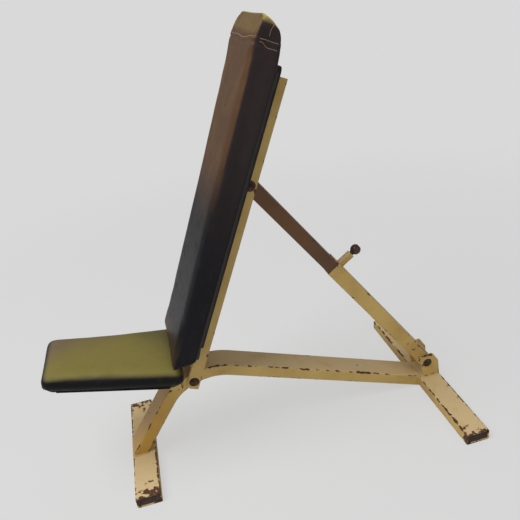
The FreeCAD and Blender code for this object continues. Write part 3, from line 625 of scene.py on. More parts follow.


# Each enamel's second colour is real dust plus painted light on up-facing faces; it also paints the pale rims
# round worn chips.
CREAM = Enamel(linear(203, 172, 98), linear(208, 182, 136), linear(180, 144, 74), linear(96, 60, 34))
WELD_CREAM = Enamel(linear(190, 158, 90), linear(200, 172, 120), linear(160, 126, 68), linear(96, 60, 34),
                    wear=0.1)
BROWN = Enamel(linear(106, 68, 28), linear(118, 84, 44), linear(84, 52, 22), linear(60, 38, 22),
               wear=0.05, gloss=0.36)
BOLT_STEEL = Steel(linear(92, 70, 56), linear(48, 34, 28))
BRIGHT_STEEL = Steel(linear(150, 140, 128), linear(96, 86, 76), 0.34, 0.9)
KNOB_PLASTIC = Moulded(linear(66, 42, 34), linear(110, 82, 66), 0.30)
PLUG_PLASTIC = Moulded(linear(62, 44, 38), linear(98, 74, 58), 0.55)
# The back's side colour is painted shade and its last colour is a painted highlight on the top end.
BACK_VINYL = BackVinyl(linear(82, 58, 40), linear(92, 68, 42), linear(20, 20, 25), linear(50, 42, 42),
                       linear(178, 158, 88), BACK_AXES)
# The seat's olive, mauve and dim tones are a painted reflection on its top; the black is the vinyl's own
# colour.
SEAT_VINYL = SeatVinyl(linear(122, 112, 58), linear(106, 90, 72), linear(74, 70, 50), linear(16, 15, 18),
                       SEAT_AXES)
THREAD = Moulded(linear(150, 122, 92), linear(110, 84, 62), 0.6)
HEM = Moulded(linear(30, 26, 28), linear(52, 42, 40), 0.55)


# ---------------------------------------------------------------- upholstery
class Cushion:
    """A foam pad in vinyl: a closed form that is blown up a little by cloth simulation."""

    name: str
    node: str
    slot: str
    body: Body
    axes: Axes
    base: float
    voxel: float = 0.006
    pressure: float = 4.0
    most: float = 0.006
    frames: int = 20
    eased: int = 5

    def outline(self) -> Thing:
        """Make the closed form before it swells, in its own axes."""
        raise NotImplementedError

    def shape(self, place: Vector) -> Vector:
        """Return where a point of the swollen form ends up, in its own axes."""
        return place

    def inflate(self, thing: Thing) -> None:
        """Let pressure round the form, with its underside held and each point's travel capped."""
        held = thing.vertex_groups.new(name="held")
        held.add([v.index for v in thing.data.vertices if v.co.z < self.base + 0.002], 1.0, "REPLACE")
        start = [v.co.copy() for v in thing.data.vertices]
        Hand.alone(thing)
        bpy.ops.object.modifier_add(type="CLOTH")
        cloth = thing.modifiers[-1]
        settings = cloth.settings
        settings.use_pressure = True
        settings.uniform_pressure_force = self.pressure
        settings.effector_weights.gravity = 0.0
        settings.vertex_group_mass = "held"
        settings.quality = 4
        settings.bending_stiffness = 30.0
        cloth.point_cache.frame_start = 1
        cloth.point_cache.frame_end = self.frames
        for frame in range(1, self.frames + 1):
            bpy.context.scene.frame_set(frame)
        swollen = thing.evaluated_get(bpy.context.evaluated_depsgraph_get())
        ends = [v.co.copy() for v in swollen.data.vertices]
        bpy.ops.object.modifier_remove(modifier=cloth.name)
        bpy.context.scene.frame_set(1)
        for vertex, old, new in zip(thing.data.vertices, start, ends):
            travel = new - old
            if travel.length > self.most:
                travel = travel.normalized() * self.most
            vertex.co = old + travel
        thing.vertex_groups.clear()

    def build(self, finish: bpy.types.Material) -> Thing:
        """Make the cushion and put it in place of its solid.

        Args:
            finish: the vinyl.

        Returns:
            The cushion.
        """
        thing = self.outline()
        Hand.modify(thing, "REMESH", mode="VOXEL", voxel_size=self.voxel)
        self.inflate(thing)
        Hand.modify(thing, "SMOOTH", factor=0.5, iterations=self.eased)
        Hand.modify(thing, "SUBSURF", levels=1)
        for vertex in thing.data.vertices:
            vertex.co = self.shape(vertex.co)
        thing.data.transform(self.axes.matrix)
        Hand.alone(thing)
        bpy.ops.object.shade_smooth()
        thing.name = self.name
        dress(thing, finish, self.body)
        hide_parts(self.node)
        return thing


@dataclass
class BackCushion(Cushion):
    """The long cushion of the back: thicker at the top, mitred at the foot, capped at the top end."""

    half_width: float = 0.133
    foot_rear: float = 0.118
    foot_front: float = 0.075
    top: float = 0.986
    base: float = 0.034
    low_front: float = 0.092
    top_front: float = 0.105
    drawn_in: float = 0.004
    cap: float = 0.935
    name: str = "back_cushion"
    node: str = "back_pad"
    slot: str = "back_vinyl"
    body: Body = Body.BACK
    axes: Axes = BACK_AXES

    def outline(self) -> Thing:
        """Make the wedge with its rounded top end and soft front edges."""
        half = self.half_width - self.drawn_in
        top = self.top - self.drawn_in
        front = self.top_front - self.drawn_in
        thing = Hand.block(self.name, (self.foot_rear, -half, self.base), (top, half, front))
        Hand.pick(thing, "VERT", lambda p: p[0].x < 0.2 and p[0].z > front - 0.001)
        drop = (self.foot_front - self.foot_rear + self.drawn_in, 0, self.low_front - self.top_front)
        bpy.ops.transform.translate(value=drop)
        Hand.close()
        ended, under = top - 0.001, self.base + 0.001

        def upright_at_top(p: list[Vector]) -> bool:
            """True for the two upright edges of the top end."""
            return all(q.x > ended for q in p) and abs(p[0].z - p[1].z) > 0.01

        Hand.round_edges(thing, upright_at_top, 0.030, 6)
        Hand.round_edges(thing, lambda p: all(self.on_front(q) for q in p), 0.014, 4)
        Hand.round_edges(thing, lambda p: all(q.x > top - 0.032 and q.z < under for q in p), 0.010, 3)
        return thing

    def on_front(self, place: Vector) -> bool:
        """True for a point on the front face of the block."""
        slope = (self.top_front - self.low_front) / (self.top - self.foot_front)
        height = self.low_front - self.drawn_in + slope * (place.x - self.foot_front)
        return place.z > height - 0.002

    def shape(self, place: Vector) -> Vector:
        """Sew the cap's seams in, gather its end, and keep the underside flat."""
        x, y, z = place
        inward = 0.0
        for seam in (self.cap, self.cap - 0.013):
            inward += 0.0016 * math.exp(-(((x - seam - self.sag(y)) / 0.0028) ** 2))
        if x < self.cap:
            puff = math.exp(-(((self.cap - x) / 0.05) ** 2))
            inward -= 0.0012 * puff
        scale = 1 - inward / self.half_width
        middle = (self.base + self.top_front) / 2
        y *= scale
        if z > self.base + 0.004:
            z -= inward * max(0.0, min(1.0, (z - middle) / 0.03))
        along = max(0.0, min(1.0, (x - 0.86) / (self.top - 0.864)))
        lift = 0.012 * along + 0.034 * along ** 6
        z = max(z, self.base)
        z += lift * max(0.0, (self.top_front - z) / (self.top_front - self.base))
        gathered = max(0.0, min(1.0, (x - 0.962) / 0.02))
        x += gathered * 0.0014 * math.sin(y * 260) * math.sin(z * 90 + 1.0)
        fold = math.exp(-((((abs(y) - 0.127) / 0.012) ** 2))) * gathered
        x -= 0.003 * fold
        return Vector((x, y, z))

    def sag(self, y: float) -> float:
        """How far the cap's seam sags at a place across the pad."""
        return -0.005 * math.cos(y / self.half_width * math.pi / 2) + 0.0018 * math.sin(y * 48)


@dataclass
class SeatCushion(Cushion):
    """The seat's cushion: narrower at the front, with rounded corners and a crowned top."""

    half_length: float = 0.189
    half_rear: float = 0.133
    half_front: float = 0.107
    base: float = -0.046
    drawn_in: float = 0.003
    corner: float = 0.052
    board_inset: float = 0.014
    eased: int = 16
    pressure: float = 3.0
    name: str = "seat_cushion"
    node: str = "seat_pad"
    slot: str = "seat_vinyl"
    body: Body = Body.BASE
    axes: Axes = SEAT_AXES

    def outline(self) -> Thing:
        """Make the tapered block with round corners and a soft top edge."""
        long = self.half_length - self.drawn_in
        rear = self.half_rear - self.drawn_in
        top = -self.drawn_in
        thing = Hand.block(self.name, (-long, -rear, self.base), (long, rear, top))
        for side in (-1, 1):
            Hand.pick(thing, "VERT", lambda p: p[0].x < 0 and p[0].y * side > 0)
            bpy.ops.transform.translate(value=(0, side * (self.half_front - self.half_rear), 0))
            Hand.close()
        Hand.round_edges(thing, lambda p: abs(p[0].z - p[1].z) > 0.01, self.corner, 8)
        Hand.round_edges(thing, lambda p: all(q.z > top - 0.0005 for q in p), 0.016, 5)
        Hand.round_edges(thing, lambda p: all(q.z < self.base + 0.0005 for q in p), 0.005, 2)
        return thing

    def inside_board(self, x: float, y: float) -> bool:
        """True over the board that lies in the cushion's underside."""
        long = self.half_length - self.board_inset + 0.001
        share = (x + self.half_length) / (2 * self.half_length)
        wide = self.half_front + share * (self.half_rear - self.half_front) - self.board_inset + 0.001
        if abs(x) > long or abs(y) > wide:
            return False
        round_off = self.corner - self.board_inset
        dx, dy = abs(x) - (long - round_off), abs(y) - (wide - round_off)
        return dx < 0 or dy < 0 or math.hypot(dx, dy) < round_off

    def shape(self, place: Vector) -> Vector:
        """Pleat the corners under their rounds and keep the underside flat round the board."""
        x, y, z = place
        turn = math.atan2(abs(y) - 0.07, abs(x) - 0.13)
        in_corner = 1.0 if abs(x) > 0.14 and abs(y) > 0.06 else 0.0
        low = max(0.0, min(1.0, (-0.020 - z) / 0.02))
        pinch = in_corner * low * 0.0012 * math.cos(turn * 22)
        centre = Vector((math.copysign(0.13, x), math.copysign(0.07, y), 0))
        away = Vector((x, y, 0)) - centre
        if in_corner and away.length > 0.01:
            away.normalize()
            x -= away.x * pinch
            y -= away.y * pinch
        lift = 0.0015 if self.inside_board(x, y) and z < self.base + 0.006 else 0.0
        return Vector((x, y, max(z, self.base) + lift))


def dress(thing: Thing, finish: bpy.types.Material, body: Body) -> None:
    """Give a new piece its finish and its body.

    Args:
        thing: the piece.
        finish: its material.
        body: the body that it rides on.
    """
    thing.data.materials.clear()
    thing.data.materials.append(finish)
    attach(thing, body.value)
    log.info("%s: %d faces on %s", thing.name, len(thing.data.polygons), body.value)


@dataclass
class Seams:
    """Cords of heavy thread that lie on a cushion along its seams."""

    cushion: BackCushion
    thick: float = 0.0006

    def lay(self, name: str, target: Thing, points: Sequence[Point], finish: bpy.types.Material) -> Thing:
        """Lay one cord on the cushion.

        Args:
            name: the cord's name.
            target: the finished cushion.
            points: places near the surface, in the cushion's own axes.
            finish: the thread.

        Returns:
            The cord as a mesh.
        """
        line = bpy.data.curves.new(name, "CURVE")
        line.dimensions = "3D"
        line.bevel_depth = self.thick
        line.bevel_resolution = 2
        line.use_fill_caps = True
        places = []
        for point in points:
            _, place, normal, _ = target.closest_point_on_mesh(self.cushion.axes.at(*point))
            places.append(place + normal * self.thick * 0.35)
        spline = line.splines.new("NURBS")
        spline.points.add(len(places) - 1)
        for knot, place in zip(spline.points, places):
            knot.co = (*place, 1.0)
        spline.order_u = 3
        spline.use_endpoint_u = True
        thing = bpy.data.objects.new(name, line)
        bpy.context.scene.collection.objects.link(thing)
        Hand.alone(thing)
        bpy.ops.object.convert(target="MESH")
        thing = bpy.context.active_object
        Hand.smooth(thing, 60)
        dress(thing, finish, self.cushion.body)
        return thing

    def build(self, target: Thing, finish: bpy.types.Material) -> None:
        """Lay the two cap seams round three sides, and the folds of its two corners."""
        pad = self.cushion
        half, front, base = pad.half_width, pad.top_front, pad.base
        heights = [base + 0.016 + t * (front - base - 0.030) / 5 for t in range(6)]
        span = [half * (-0.93 + 1.86 * t / 22) for t in range(23)]
        points = [(pad.cap, -half - 0.005, z) for z in heights]
        points += [(pad.cap + pad.sag(y), y, front + 0.01) for y in span]
        points += [(pad.cap, half + 0.005, z) for z in reversed(heights)]
        self.lay("back_cap_seam", target, points, finish)
        for side, label in ((-1, "left"), (1, "right")):
            points = [(pad.cap - 0.013, side * (half + 0.005), z) for z in heights]
            self.lay(f"back_cap_seam_{label}", target, points, finish)
        for side, label in ((-1, "left"), (1, "right")):
            fold = [(pad.cap + 0.004, 0.072), (0.948, 0.0735), (0.962, 0.072), (0.974, 0.067), (0.984, 0.060)]
            points = [(x, side * (half + 0.006), z) for x, z in fold]
            self.lay(f"back_corner_fold_{label}", target, points, finish)


@dataclass
class Hem:
    """Cut edges of vinyl: a wavy flap along the back's rear edges, stapled strips under the seat."""

    thick: float = 0.0011

    def strip(self, name: str, corners: Sequence[Vector], cuts: int, ripple: float, body: Body,
              finish: bpy.types.Material) -> Thing:
        """Make a thin strip between four corners, with its last edge cut unevenly.

        Args:
            name: the strip's name.
            corners: start and end of the held edge, then end and start of the cut edge.
            cuts: how many divisions it has along its length.
            ripple: how uneven its cut edge is, in metres.
            body: the body that it rides on.
            finish: its material.

        Returns:
            The strip.
        """
        bpy.ops.object.select_all(action="DESELECT")
        bpy.ops.mesh.primitive_grid_add(x_subdivisions=cuts, y_subdivisions=3, size=2)
        thing = bpy.context.active_object
        thing.name = name
        first, second, third, fourth = corners
        out = (fourth - first).normalized()
        normal = (second - first).cross(out).normalized()
        for vertex in thing.data.vertices:
            u, v = (vertex.co.x + 1) / 2, (vertex.co.y + 1) / 2
            held, cut = first.lerp(second, u), fourth.lerp(third, u)
            wave = math.sin(u * cuts * 0.83) * 0.6 + math.sin(u * cuts * 0.31 + 1.7) * 0.4
            vertex.co = held.lerp(cut, v) + out * wave * ripple * v + normal * wave * 0.0008 * v
        Hand.modify(thing, "SOLIDIFY", thickness=self.thick, offset=0.0)
        Hand.smooth(thing, 50)
        dress(thing, finish, body)
        return thing

    def staples(self, name: str, rows: Sequence[tuple[Vector, Vector, int]], down: Vector, body: Body,
                finish: bpy.types.Material) -> Thing:
        """Set rows of wire staples across a hem.

        Args:
            name: the name of the set.
            rows: each row's start, end and count.
            down: away from the board.
            body: the body that they ride on.
            finish: their metal.

        Returns:
            The staples as one piece.
        """
        pattern = Hand.block("staple", (-0.0055, -0.0006, -0.0004), (0.0055, 0.0006, 0.0004))
        Hand.round_edges(pattern, lambda p: abs(p[0].x - p[1].x) < 0.001, 0.0003, 1)
        made = []
        for start, end, count in rows:
            along = (end - start).normalized()
            side = down.cross(along)
            turn = Matrix((along, side, down)).transposed().to_4x4()
            for number in range(count):
                spot = start.lerp(end, (number + 0.5) / count)
                lean = Matrix.Rotation(0.35 * math.sin(number * 2.3), 4, "Z")
                made.append(Hand.copy(pattern, Matrix.Translation(spot) @ turn @ lean))
        bpy.data.objects.remove(pattern)
        thing = Hand.join(name, made)
        dress(thing, finish, body)
        return thing


@dataclass
class Upholstery:
    """Both cushions with their seams, hems and staples."""

    back: BackCushion
    seat: SeatCushion

    def build(self) -> None:
        """Make the soft pieces and what is sewn or stapled to them."""
        thread, hem = THREAD.make("seam_thread"), HEM.make("vinyl_hem")
        wire = BRIGHT_STEEL.make("staple_wire")
        back = self.back.build(BACK_VINYL.make("back_vinyl"))
        self.seat.build(SEAT_VINYL.make("seat_vinyl"))
        Seams(self.back).build(back, thread)
        self.hem_back(hem)
        self.hem_seat(hem, wire)

    def hem_back(self, finish: bpy.types.Material) -> None:
        """Hang the wavy flap along both rear edges of the back."""
        pad, axes = self.back, self.back.axes
        for side, label in ((-1, "left"), (1, "right")):
            y = side * (pad.half_width - 0.0055)
            low, high = pad.foot_rear + 0.012, pad.top - 0.110
            corners = [axes.at(low, y, pad.base + 0.004), axes.at(high, y, pad.base + 0.004),
                       axes.at(high, y - side * 0.001, pad.base - 0.0025),
                       axes.at(low, y - side * 0.001, pad.base - 0.0025)]
            Hem().strip(f"back_hem_{label}", corners, 120, 0.0016, Body.BACK, finish)

    def hem_seat(self, finish: bpy.types.Material, wire: bpy.types.Material) -> None:
        """Fold the seat's vinyl under its board and staple it there."""
        pad, axes = self.seat, self.seat.axes
        under = pad.base - 0.0008
        long, wide, slim = pad.half_length, pad.half_rear, pad.half_front
        rows = []
        edges = {
            "near": ((-0.146, -slim + 0.010), (0.146, -wide + 0.012), (0, 0.028)),
            "far": ((-0.146, slim - 0.010), (0.146, wide - 0.012), (0, -0.028)),
            "front": ((-long + 0.011, -slim + 0.046), (-long + 0.011, slim - 0.046), (0.030, 0)),
            "rear": ((long - 0.011, -wide + 0.046), (long - 0.011, wide - 0.046), (-0.017, 0)),
        }
        for label, (start, end, inward) in edges.items():
            a, b = Vector((*start, under)), Vector((*end, under))
            fold = Vector((*inward, 0))
            corners = [axes.matrix @ p for p in (a, b, b + fold, a + fold)]
            Hem().strip(f"seat_hem_{label}", corners, 44, 0.0022, Body.BASE, finish)
            lane = fold * 0.72 + Vector((0, 0, -0.0010))
            count = max(4, round((b - a).length / 0.028))
            rows.append((axes.matrix @ (a + lane), axes.matrix @ (b + lane), count))
        Hem().staples("seat_staples", rows, axes.along(0, 0, -1), Body.BASE, wire)


# ---------------------------------------------------------------- welds
@dataclass
class Weld:
    """A bead of overlapping weld ripples along a line of points."""

    name: str
    path: Sequence[Vector]
    body: Body
    radius: float = 0.0030
    closed: bool = False

    def build(self, finish: bpy.types.Material) -> Thing:
        """Model one ripple and copy it along the line.

        Args:
            finish: the paint over the weld.

        Returns:
            The bead as one piece.
        """
        bpy.ops.object.select_all(action="DESELECT")
        bpy.ops.mesh.primitive_uv_sphere_add(segments=10, ring_count=6, radius=1.0)
        ripple = bpy.context.active_object
        Hand.pick(ripple, "VERT", lambda p: p[0].x > 0.3)
        bpy.ops.transform.resize(value=(0.8, 0.92, 0.92), center_override=(0, 0, 0))
        Hand.close()
        stops = list(self.path) + ([self.path[0]] if self.closed else [])
        made: list[Thing] = []
        travel = 0.0
        pitch = self.radius * 0.62
        for start, end in zip(stops, stops[1:]):
            length = (end - start).length
            along = (end - start).normalized()
            turn = along.to_track_quat("X", "Z").to_matrix().to_4x4()
            while travel < length:
                ripples = len(made)
                swell = self.radius * (1 + 0.10 * math.sin(ripples * 1.9) + 0.06 * math.sin(ripples * 0.7))
                size = Matrix.Diagonal((swell * 0.75, swell, swell, 1.0))
                spot = start + along * travel
                made.append(Hand.copy(ripple, Matrix.Translation(spot) @ turn @ size))
                travel += pitch
            travel -= length
        bpy.data.objects.remove(ripple)
        thing = Hand.join(self.name, made)
        Hand.smooth(thing, 60)
        dress(thing, finish, self.body)
        return thing


@dataclass
class Welds:
    """All the beads that hold the frame together."""

    tube_half: float = 0.040
    foot_top: float = 0.035
    leg_front: float = -0.033
    leg_rear: float = 0.0125
    rail_x: float = 0.901
    ear_length: float = 0.052
    ring_radius: float = 0.0122
    ring_stops: int = 28
    base_height: float = 0.0215

    def lines(self) -> list[Weld]:
        """Return the beads with their lines."""
        half, top = self.tube_half, self.foot_top
        ears_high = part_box("strut_clevis_ears")[1]
        out = ears_high.y + 0.0006
        beads = [
            Weld("weld_leg", [Vector((self.leg_front, -half, top)), Vector((self.leg_rear, -half, top)),
                              Vector((self.leg_rear, half, top)), Vector((self.leg_front, half, top))],
                 Body.BASE),
            Weld("weld_rail", [Vector((self.rail_x, -half, 0.010)), Vector((self.rail_x, -half, 0.0365)),
                               Vector((self.rail_x + 0.001, -half + 0.003, 0.0385)),
                               Vector((self.rail_x + 0.001, half - 0.003, 0.0385)),
                               Vector((self.rail_x, half, 0.0365)), Vector((self.rail_x, half, 0.010))],
                 Body.BASE, 0.0034),
        ]
        for side, label in ((-1, "left"), (1, "right")):
            ends = [Vector((ears_high.x - inset, side * out, top)) for inset in (self.ear_length, 0.002)]
            beads.append(Weld(f"weld_ear_{label}", ends, Body.BASE, 0.0024))
            lap = [Vector((x, side * (half + 0.0006), z)) for x, z in
                   ((0.158, 0.262), (0.158, 0.241), (0.138, 0.2375), (0.124, 0.2445))]
            beads.append(Weld(f"weld_lap_{label}", lap, Body.BASE, 0.0024))
            head = [SEAT_AXES.at(x, side * (half + 0.0055), -0.0515) for x in (0.088, 0.148)]
            beads.append(Weld(f"weld_head_{label}", head, Body.BASE, 0.0022))
        low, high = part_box("plunger_housing")
        pin = joint_axis("plunger_pull")
        middle = (low + high) / 2 - pin * self.base_height
        ring = []
        for step in range(self.ring_stops):
            angle = step / self.ring_stops * math.tau
            across = SLIDE * math.cos(angle) + Vector((0, math.sin(angle), 0))
            ring.append(middle + across * self.ring_radius)
        beads.append(Weld("weld_housing", ring, Body.STRUT_OUT, 0.0020, True))
        return beads

    def build(self) -> None:
        """Lay every bead."""
        no_edges = StraightEdges(Axes((0, 0, 0)), (5.0, 5.0, 5.0))
        paint = WELD_CREAM.make("welded_paint", no_edges)
        for bead in self.lines():
            bead.build(paint)


# ---------------------------------------------------------------- fittings
@dataclass
class FootPlugs:
    """Moulded plugs in the open ends of a foot tube."""

    foot: str
    dish: float = 0.0022
    lip: float = 0.006

    def build(self, finish: bpy.types.Material) -> Thing:
        """Model one plug with a dished face and copy it to the other end.

        Args:
            finish: the plastic.

        Returns:
            Both plugs as one piece.
        """
        low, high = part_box(f"{self.foot}_plugs")
        depth = 0.022
        plug = Hand.block(f"{self.foot}_plug", (low.x, low.y, low.z), (high.x, low.y + depth, high.z))
        Hand.pick(plug, "FACE", lambda p: all(q.y < low.y + 0.0002 for q in p))
        bpy.ops.mesh.inset(thickness=self.lip, depth=0.0)
        bpy.ops.mesh.inset(thickness=0.002, depth=-self.dish)
        bpy.ops.mesh.inset(thickness=0.003, depth=0.0)
        bpy.ops.mesh.inset(thickness=0.0015, depth=self.dish * 0.6)
        Hand.close()
        Hand.round_edges(plug, lambda p: abs(p[0].y - p[1].y) > 0.01, 0.003, 2)

        def outer(place: Vector) -> bool:
            """True for a corner of the plug's outer front edge."""
            off = min(high.x - place.x, place.x - low.x, high.z - place.z, place.z - low.z)
            return off < 0.0035 and place.y < low.y + 0.0002

        Hand.round_edges(plug, lambda p: all(outer(q) for q in p), 0.0006, 2)
        middle = (low + high) / 2
        half_turn = Matrix.Translation((middle.x, 0, 0)) @ Matrix.Rotation(math.pi, 4, "Z")
        half_turn = half_turn @ Matrix.Translation((-middle.x, 0, 0))
        twin = Hand.copy(plug, half_turn)
        thing = Hand.join(f"{self.foot}_end_plugs", [plug, twin])
        Hand.smooth(thing, 35)
        dress(thing, finish, Body.BASE)
        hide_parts(f"{self.foot}_plugs")
        return thing


@dataclass
class BallKnob:
    """The plunger's ball, with a flat end, a mould line and a ferrule under it."""

    radius: float = 0.015
    centre: float = 0.017
    flat: float = 0.0305
    above_housing: float = 0.0221
    body: Body = Body.PLUNGER

    def build(self, finish: bpy.types.Material, steel: bpy.types.Material) -> None:
        """Model the ball on the rod's end, and the ferrule."""
        pin = joint_axis("plunger_pull")
        low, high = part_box("plunger_housing")
        base = (low + high) / 2 + pin * self.above_housing
        axes = Matrix.Translation(base) @ pin.to_track_quat("Z", "Y").to_matrix().to_4x4()
        bpy.ops.object.select_all(action="DESELECT")
        middle = (0, 0, self.centre)
        bpy.ops.mesh.primitive_uv_sphere_add(segments=48, ring_count=24, radius=self.radius, location=middle)
        ball = bpy.context.active_object
        bpy.ops.object.transform_apply(location=True, rotation=False, scale=False)
        Hand.pick(ball, "VERT", lambda p: p[0].z > self.flat)
        bpy.ops.transform.resize(value=(1, 1, 0.1), center_override=(0, 0, self.flat))
        Hand.close()
        Hand.pick(ball, "VERT", lambda p: abs(p[0].z - self.centre) < 0.0005)
        bpy.ops.transform.resize(value=(1.012, 1.012, 1), center_override=middle)
        Hand.close()
        ball.data.transform(axes)
        ball.name = "plunger_ball"
        Hand.smooth(ball, 50)
        dress(ball, finish, self.body)
        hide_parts("plunger_knob")
        bpy.ops.object.select_all(action="DESELECT")
        bpy.ops.mesh.primitive_cylinder_add(vertices=40, radius=0.0074, depth=0.0062, location=(0, 0, 0.0031))
        ferrule = bpy.context.active_object
        bpy.ops.object.transform_apply(location=True, rotation=False, scale=False)
        Hand.round_edges(ferrule, lambda p: abs(p[0].z - p[1].z) < 0.0001, 0.0007, 2)
        ferrule.data.transform(axes)
        ferrule.name = "plunger_ferrule"
        Hand.smooth(ferrule, 40)
        dress(ferrule, steel, self.body)


# ---------------------------------------------------------------- the metal frame's finishes
@dataclass
class MetalFrame:
    """Finishes of the nodes that keep their shape."""

    def edges(self) -> dict[str, tuple[Enamel, StraightEdges | BentEdges, float]]:
        """Return each painted node's enamel, its edges and its extra wear."""
        lean = math.radians(18.3)
        bend = HINGE + Vector((math.sin(lean), 0, -math.cos(lean))) * 0.163
        low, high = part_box("rear_foot_tube")
        front_low, front_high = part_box("front_foot_tube")
        channel = Axes(tuple(BACK_AXES.at(0.421, 0, 0.001)), BACK_AXES.turn)
        inner = Axes(tuple(STRUT_AXES.at(0.2595, 0, 0)), STRUT_AXES.turn)
        outer = Axes(tuple(STRUT_AXES.at(0.623, 0, 0)), STRUT_AXES.turn)
        plate = Axes(tuple(SEAT_AXES.at(0.025, 0, -0.0485)), SEAT_AXES.turn)
        ears_low, ears_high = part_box("strut_clevis_ears")
        plates_low, plates_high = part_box("seat_side_plates")
        return {
            "main_tube": (CREAM, BentEdges(tuple(bend), 0.150, 0.188, 0.040, 54.0, 21.5), 0.0),
            "front_foot_tube": (CREAM, self.box_edges(front_low, front_high, 0.085), 0.03),
            "rear_foot_tube": (CREAM, self.box_edges(low, high, 0.045), 0.03),
            "strut_clevis_ears": (CREAM, self.box_edges(ears_low, ears_high), -0.03),
            "seat_side_plates": (CREAM, self.box_edges(plates_low, plates_high), 0.0),
            "back_channel": (CREAM, StraightEdges(channel, (0.445, 0.046, 0.019)), -0.13),
            "seat_plate": (CREAM, StraightEdges(plate, (0.135, 0.056, 0.0025)), 0.0),
            "strut_inner_tube": (BROWN, StraightEdges(inner, (0.2705, 0.035, 0.019)), 0.0),
            "strut_outer_tube": (CREAM, StraightEdges(outer, (0.264, 0.0375, 0.0215)), -0.14),
            "plunger_housing": (CREAM, StraightEdges(outer, (0.27, 0.05, 0.0645)), -0.15),
        }

    @staticmethod
    def box_edges(low: Vector, high: Vector, ends: float = 0.0) -> StraightEdges:
        """Return the edges of an upright box, and how far its ends are worn all over."""
        return StraightEdges(Axes(tuple((low + high) / 2)), tuple((high - low) / 2), ends=ends)

    def build(self) -> None:
        """Give every remaining node its finish."""
        for node, (enamel, edges, extra) in self.edges().items():
            self.paint(node, enamel.make(f"{node}_enamel", edges, extra))
        bolt = BOLT_STEEL.make("bolt_steel")
        for spot in ("hinge", "upper", "lower"):
            for part in ("bolt", "washer", "nut"):
                self.paint(f"{spot}_{part}", bolt)
        bright = BRIGHT_STEEL.make("bright_steel")
        for node in ("hinge_sleeve", "strut_eye_sleeve", "plunger_pin", "plunger_spring",
                     "seat_screws", "back_screws"):
            self.paint(node, bright)
        for node, axes in (("seat_board", SEAT_AXES), ("back_board", BACK_AXES)):
            wood = Plywood(linear(46, 36, 30), linear(28, 22, 20), axes)
            self.paint(node, wood.make(f"{node}_wood"))

    @staticmethod
    def paint(node: str, finish: bpy.types.Material) -> None:
        """Put a finish in every material slot of a node."""
        thing = FRAME["nodes"][node]
        for slot in thing.material_slots:
            slot.material = finish
        log.info("%s: %s", node, finish.name)


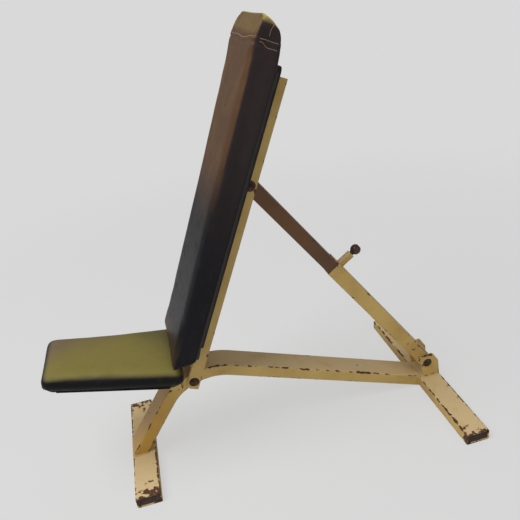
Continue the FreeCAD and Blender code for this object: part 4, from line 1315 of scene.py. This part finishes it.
# ---------------------------------------------------------------- studio
@dataclass(frozen=True)
class Studio:
    """Plain pale floor, soft light from above, and the camera."""

    backdrop: float = 0.694
    ambient: float = 0.30
    key: float = 165.0
    eye: Point = (0.2067, -1.3206, 1.2562)
    heading: float = -10.09
    height: float = 27.20
    roll: float = -8.34
    lens: float = 37.873

    def camera(self) -> None:
        """Create the camera."""
        turn, tilt, roll = (math.radians(v) for v in (self.heading, self.height, self.roll))
        back = Vector((math.sin(turn) * math.cos(tilt), -math.cos(turn) * math.cos(tilt), math.sin(tilt)))
        right = (-back).cross(Vector((0, 0, 1))).normalized()
        up = right.cross(-back)
        across = math.cos(roll) * right + math.sin(roll) * up
        upright = -math.sin(roll) * right + math.cos(roll) * up
        lens = bpy.data.cameras.new("camera")
        lens.lens = self.lens
        lens.sensor_width = 36.0
        lens.clip_end = 100.0
        thing = bpy.data.objects.new("camera", lens)
        bpy.context.scene.collection.objects.link(thing)
        stance = Matrix((across, upright, back)).transposed().to_4x4()
        thing.matrix_world = Matrix.Translation(self.eye) @ stance
        bpy.context.scene.camera = thing

    def seen_directly(self, tree: bpy.types.NodeTree) -> Socket:
        """Return 1 for what the eye sees directly."""
        return tree.nodes.new("ShaderNodeLightPath").outputs["Is Camera Ray"]

    def world(self) -> None:
        """Light all round at a plain level, with the pale backdrop where it is seen."""
        world = bpy.data.worlds.new("studio")
        bpy.context.scene.world = world
        world.use_nodes = True
        tree = world.node_tree
        tree.nodes.clear()
        light = tree.nodes.new("ShaderNodeBackground")
        light.inputs["Color"].default_value = (1.0, 0.985, 0.96, 1.0)
        light.inputs["Strength"].default_value = self.ambient
        seen = tree.nodes.new("ShaderNodeBackground")
        seen.inputs["Color"].default_value = (self.backdrop,) * 3 + (1.0,)
        mix = tree.nodes.new("ShaderNodeMixShader")
        tree.links.new(self.seen_directly(tree), mix.inputs[0])
        tree.links.new(light.outputs[0], mix.inputs[1])
        tree.links.new(seen.outputs[0], mix.inputs[2])
        output = tree.nodes.new("ShaderNodeOutputWorld")
        tree.links.new(mix.outputs[0], output.inputs[0])

    def floor(self) -> None:
        """Lay the floor, which keeps a faint shadow."""
        bpy.ops.object.select_all(action="DESELECT")
        bpy.ops.mesh.primitive_plane_add(size=60, location=(0.4, 0, 0))
        thing = bpy.context.active_object
        thing.name = "studio_floor"
        material = bpy.data.materials.new("studio_floor")
        material.use_nodes = True
        tree = material.node_tree
        tree.nodes.clear()
        matt = tree.nodes.new("ShaderNodeBsdfDiffuse")
        matt.inputs["Color"].default_value = (self.backdrop,) * 3 + (1.0,)
        glow = tree.nodes.new("ShaderNodeEmission")
        glow.inputs["Color"].default_value = (self.backdrop,) * 3 + (1.0,)
        where = tree.nodes.new("ShaderNodeTexCoord")
        away = tree.nodes.new("ShaderNodeVectorMath")
        away.operation = "LENGTH"
        tree.links.new(where.outputs["Object"], away.inputs[0])
        fade = tree.nodes.new("ShaderNodeMapRange")
        fade.interpolation_type = "SMOOTHSTEP"
        tree.links.new(away.outputs["Value"], fade.inputs["Value"])
        for socket, value in (("From Min", 0.9), ("From Max", 3.2), ("To Min", 0.78), ("To Max", 1.0)):
            fade.inputs[socket].default_value = value
        share = tree.nodes.new("ShaderNodeMath")
        share.operation = "MULTIPLY"
        tree.links.new(self.seen_directly(tree), share.inputs[0])
        tree.links.new(fade.outputs["Result"], share.inputs[1])
        mix = tree.nodes.new("ShaderNodeMixShader")
        tree.links.new(share.outputs[0], mix.inputs[0])
        tree.links.new(matt.outputs[0], mix.inputs[1])
        tree.links.new(glow.outputs[0], mix.inputs[2])
        output = tree.nodes.new("ShaderNodeOutputMaterial")
        tree.links.new(mix.outputs[0], output.inputs["Surface"])
        thing.data.materials.append(material)

    def lamp(self, name: str, place: Point, target: Point, size: float, watts: float) -> None:
        """Hang a square soft lamp that looks at a point."""
        light = bpy.data.lights.new(name, "AREA")
        light.size = size
        light.energy = watts
        thing = bpy.data.objects.new(name, light)
        bpy.context.scene.collection.objects.link(thing)
        away = Vector(place) - Vector(target)
        thing.matrix_world = Matrix.Translation(place) @ away.to_track_quat("Z", "Y").to_matrix().to_4x4()

    def build(self) -> None:
        """Set up the whole studio."""
        bpy.context.scene.view_settings.view_transform = "Standard"
        self.camera()
        self.world()
        self.floor()
        self.lamp("key", (-1.6, -0.6, 4.2), (0.35, 0, 0.4), 2.6, self.key)
        self.lamp("fill", (2.6, -2.6, 2.2), (0.5, 0, 0.4), 2.4, self.key * 0.08)


@dataclass
class WeightBench:
    """The whole bench: metal frame, welds, fittings and upholstery."""

    def build(self) -> None:
        """Build the sub-assemblies in order."""
        MetalFrame().build()
        Welds().build()
        plastic = PLUG_PLASTIC.make("plug_plastic")
        for foot in ("front_foot", "rear_foot"):
            FootPlugs(foot).build(plastic)
        BallKnob().build(KNOB_PLASTIC.make("knob_plastic"), BOLT_STEEL.make("ferrule_steel"))
        Upholstery(BackCushion(), SeatCushion()).build()


def main() -> None:
    """Build the bench and its studio, logging the face count of each new piece."""
    logging.basicConfig(level=logging.INFO, format="%(message)s")
    WeightBench().build()
    Studio().build()


if __name__ == "__main__":
    main()
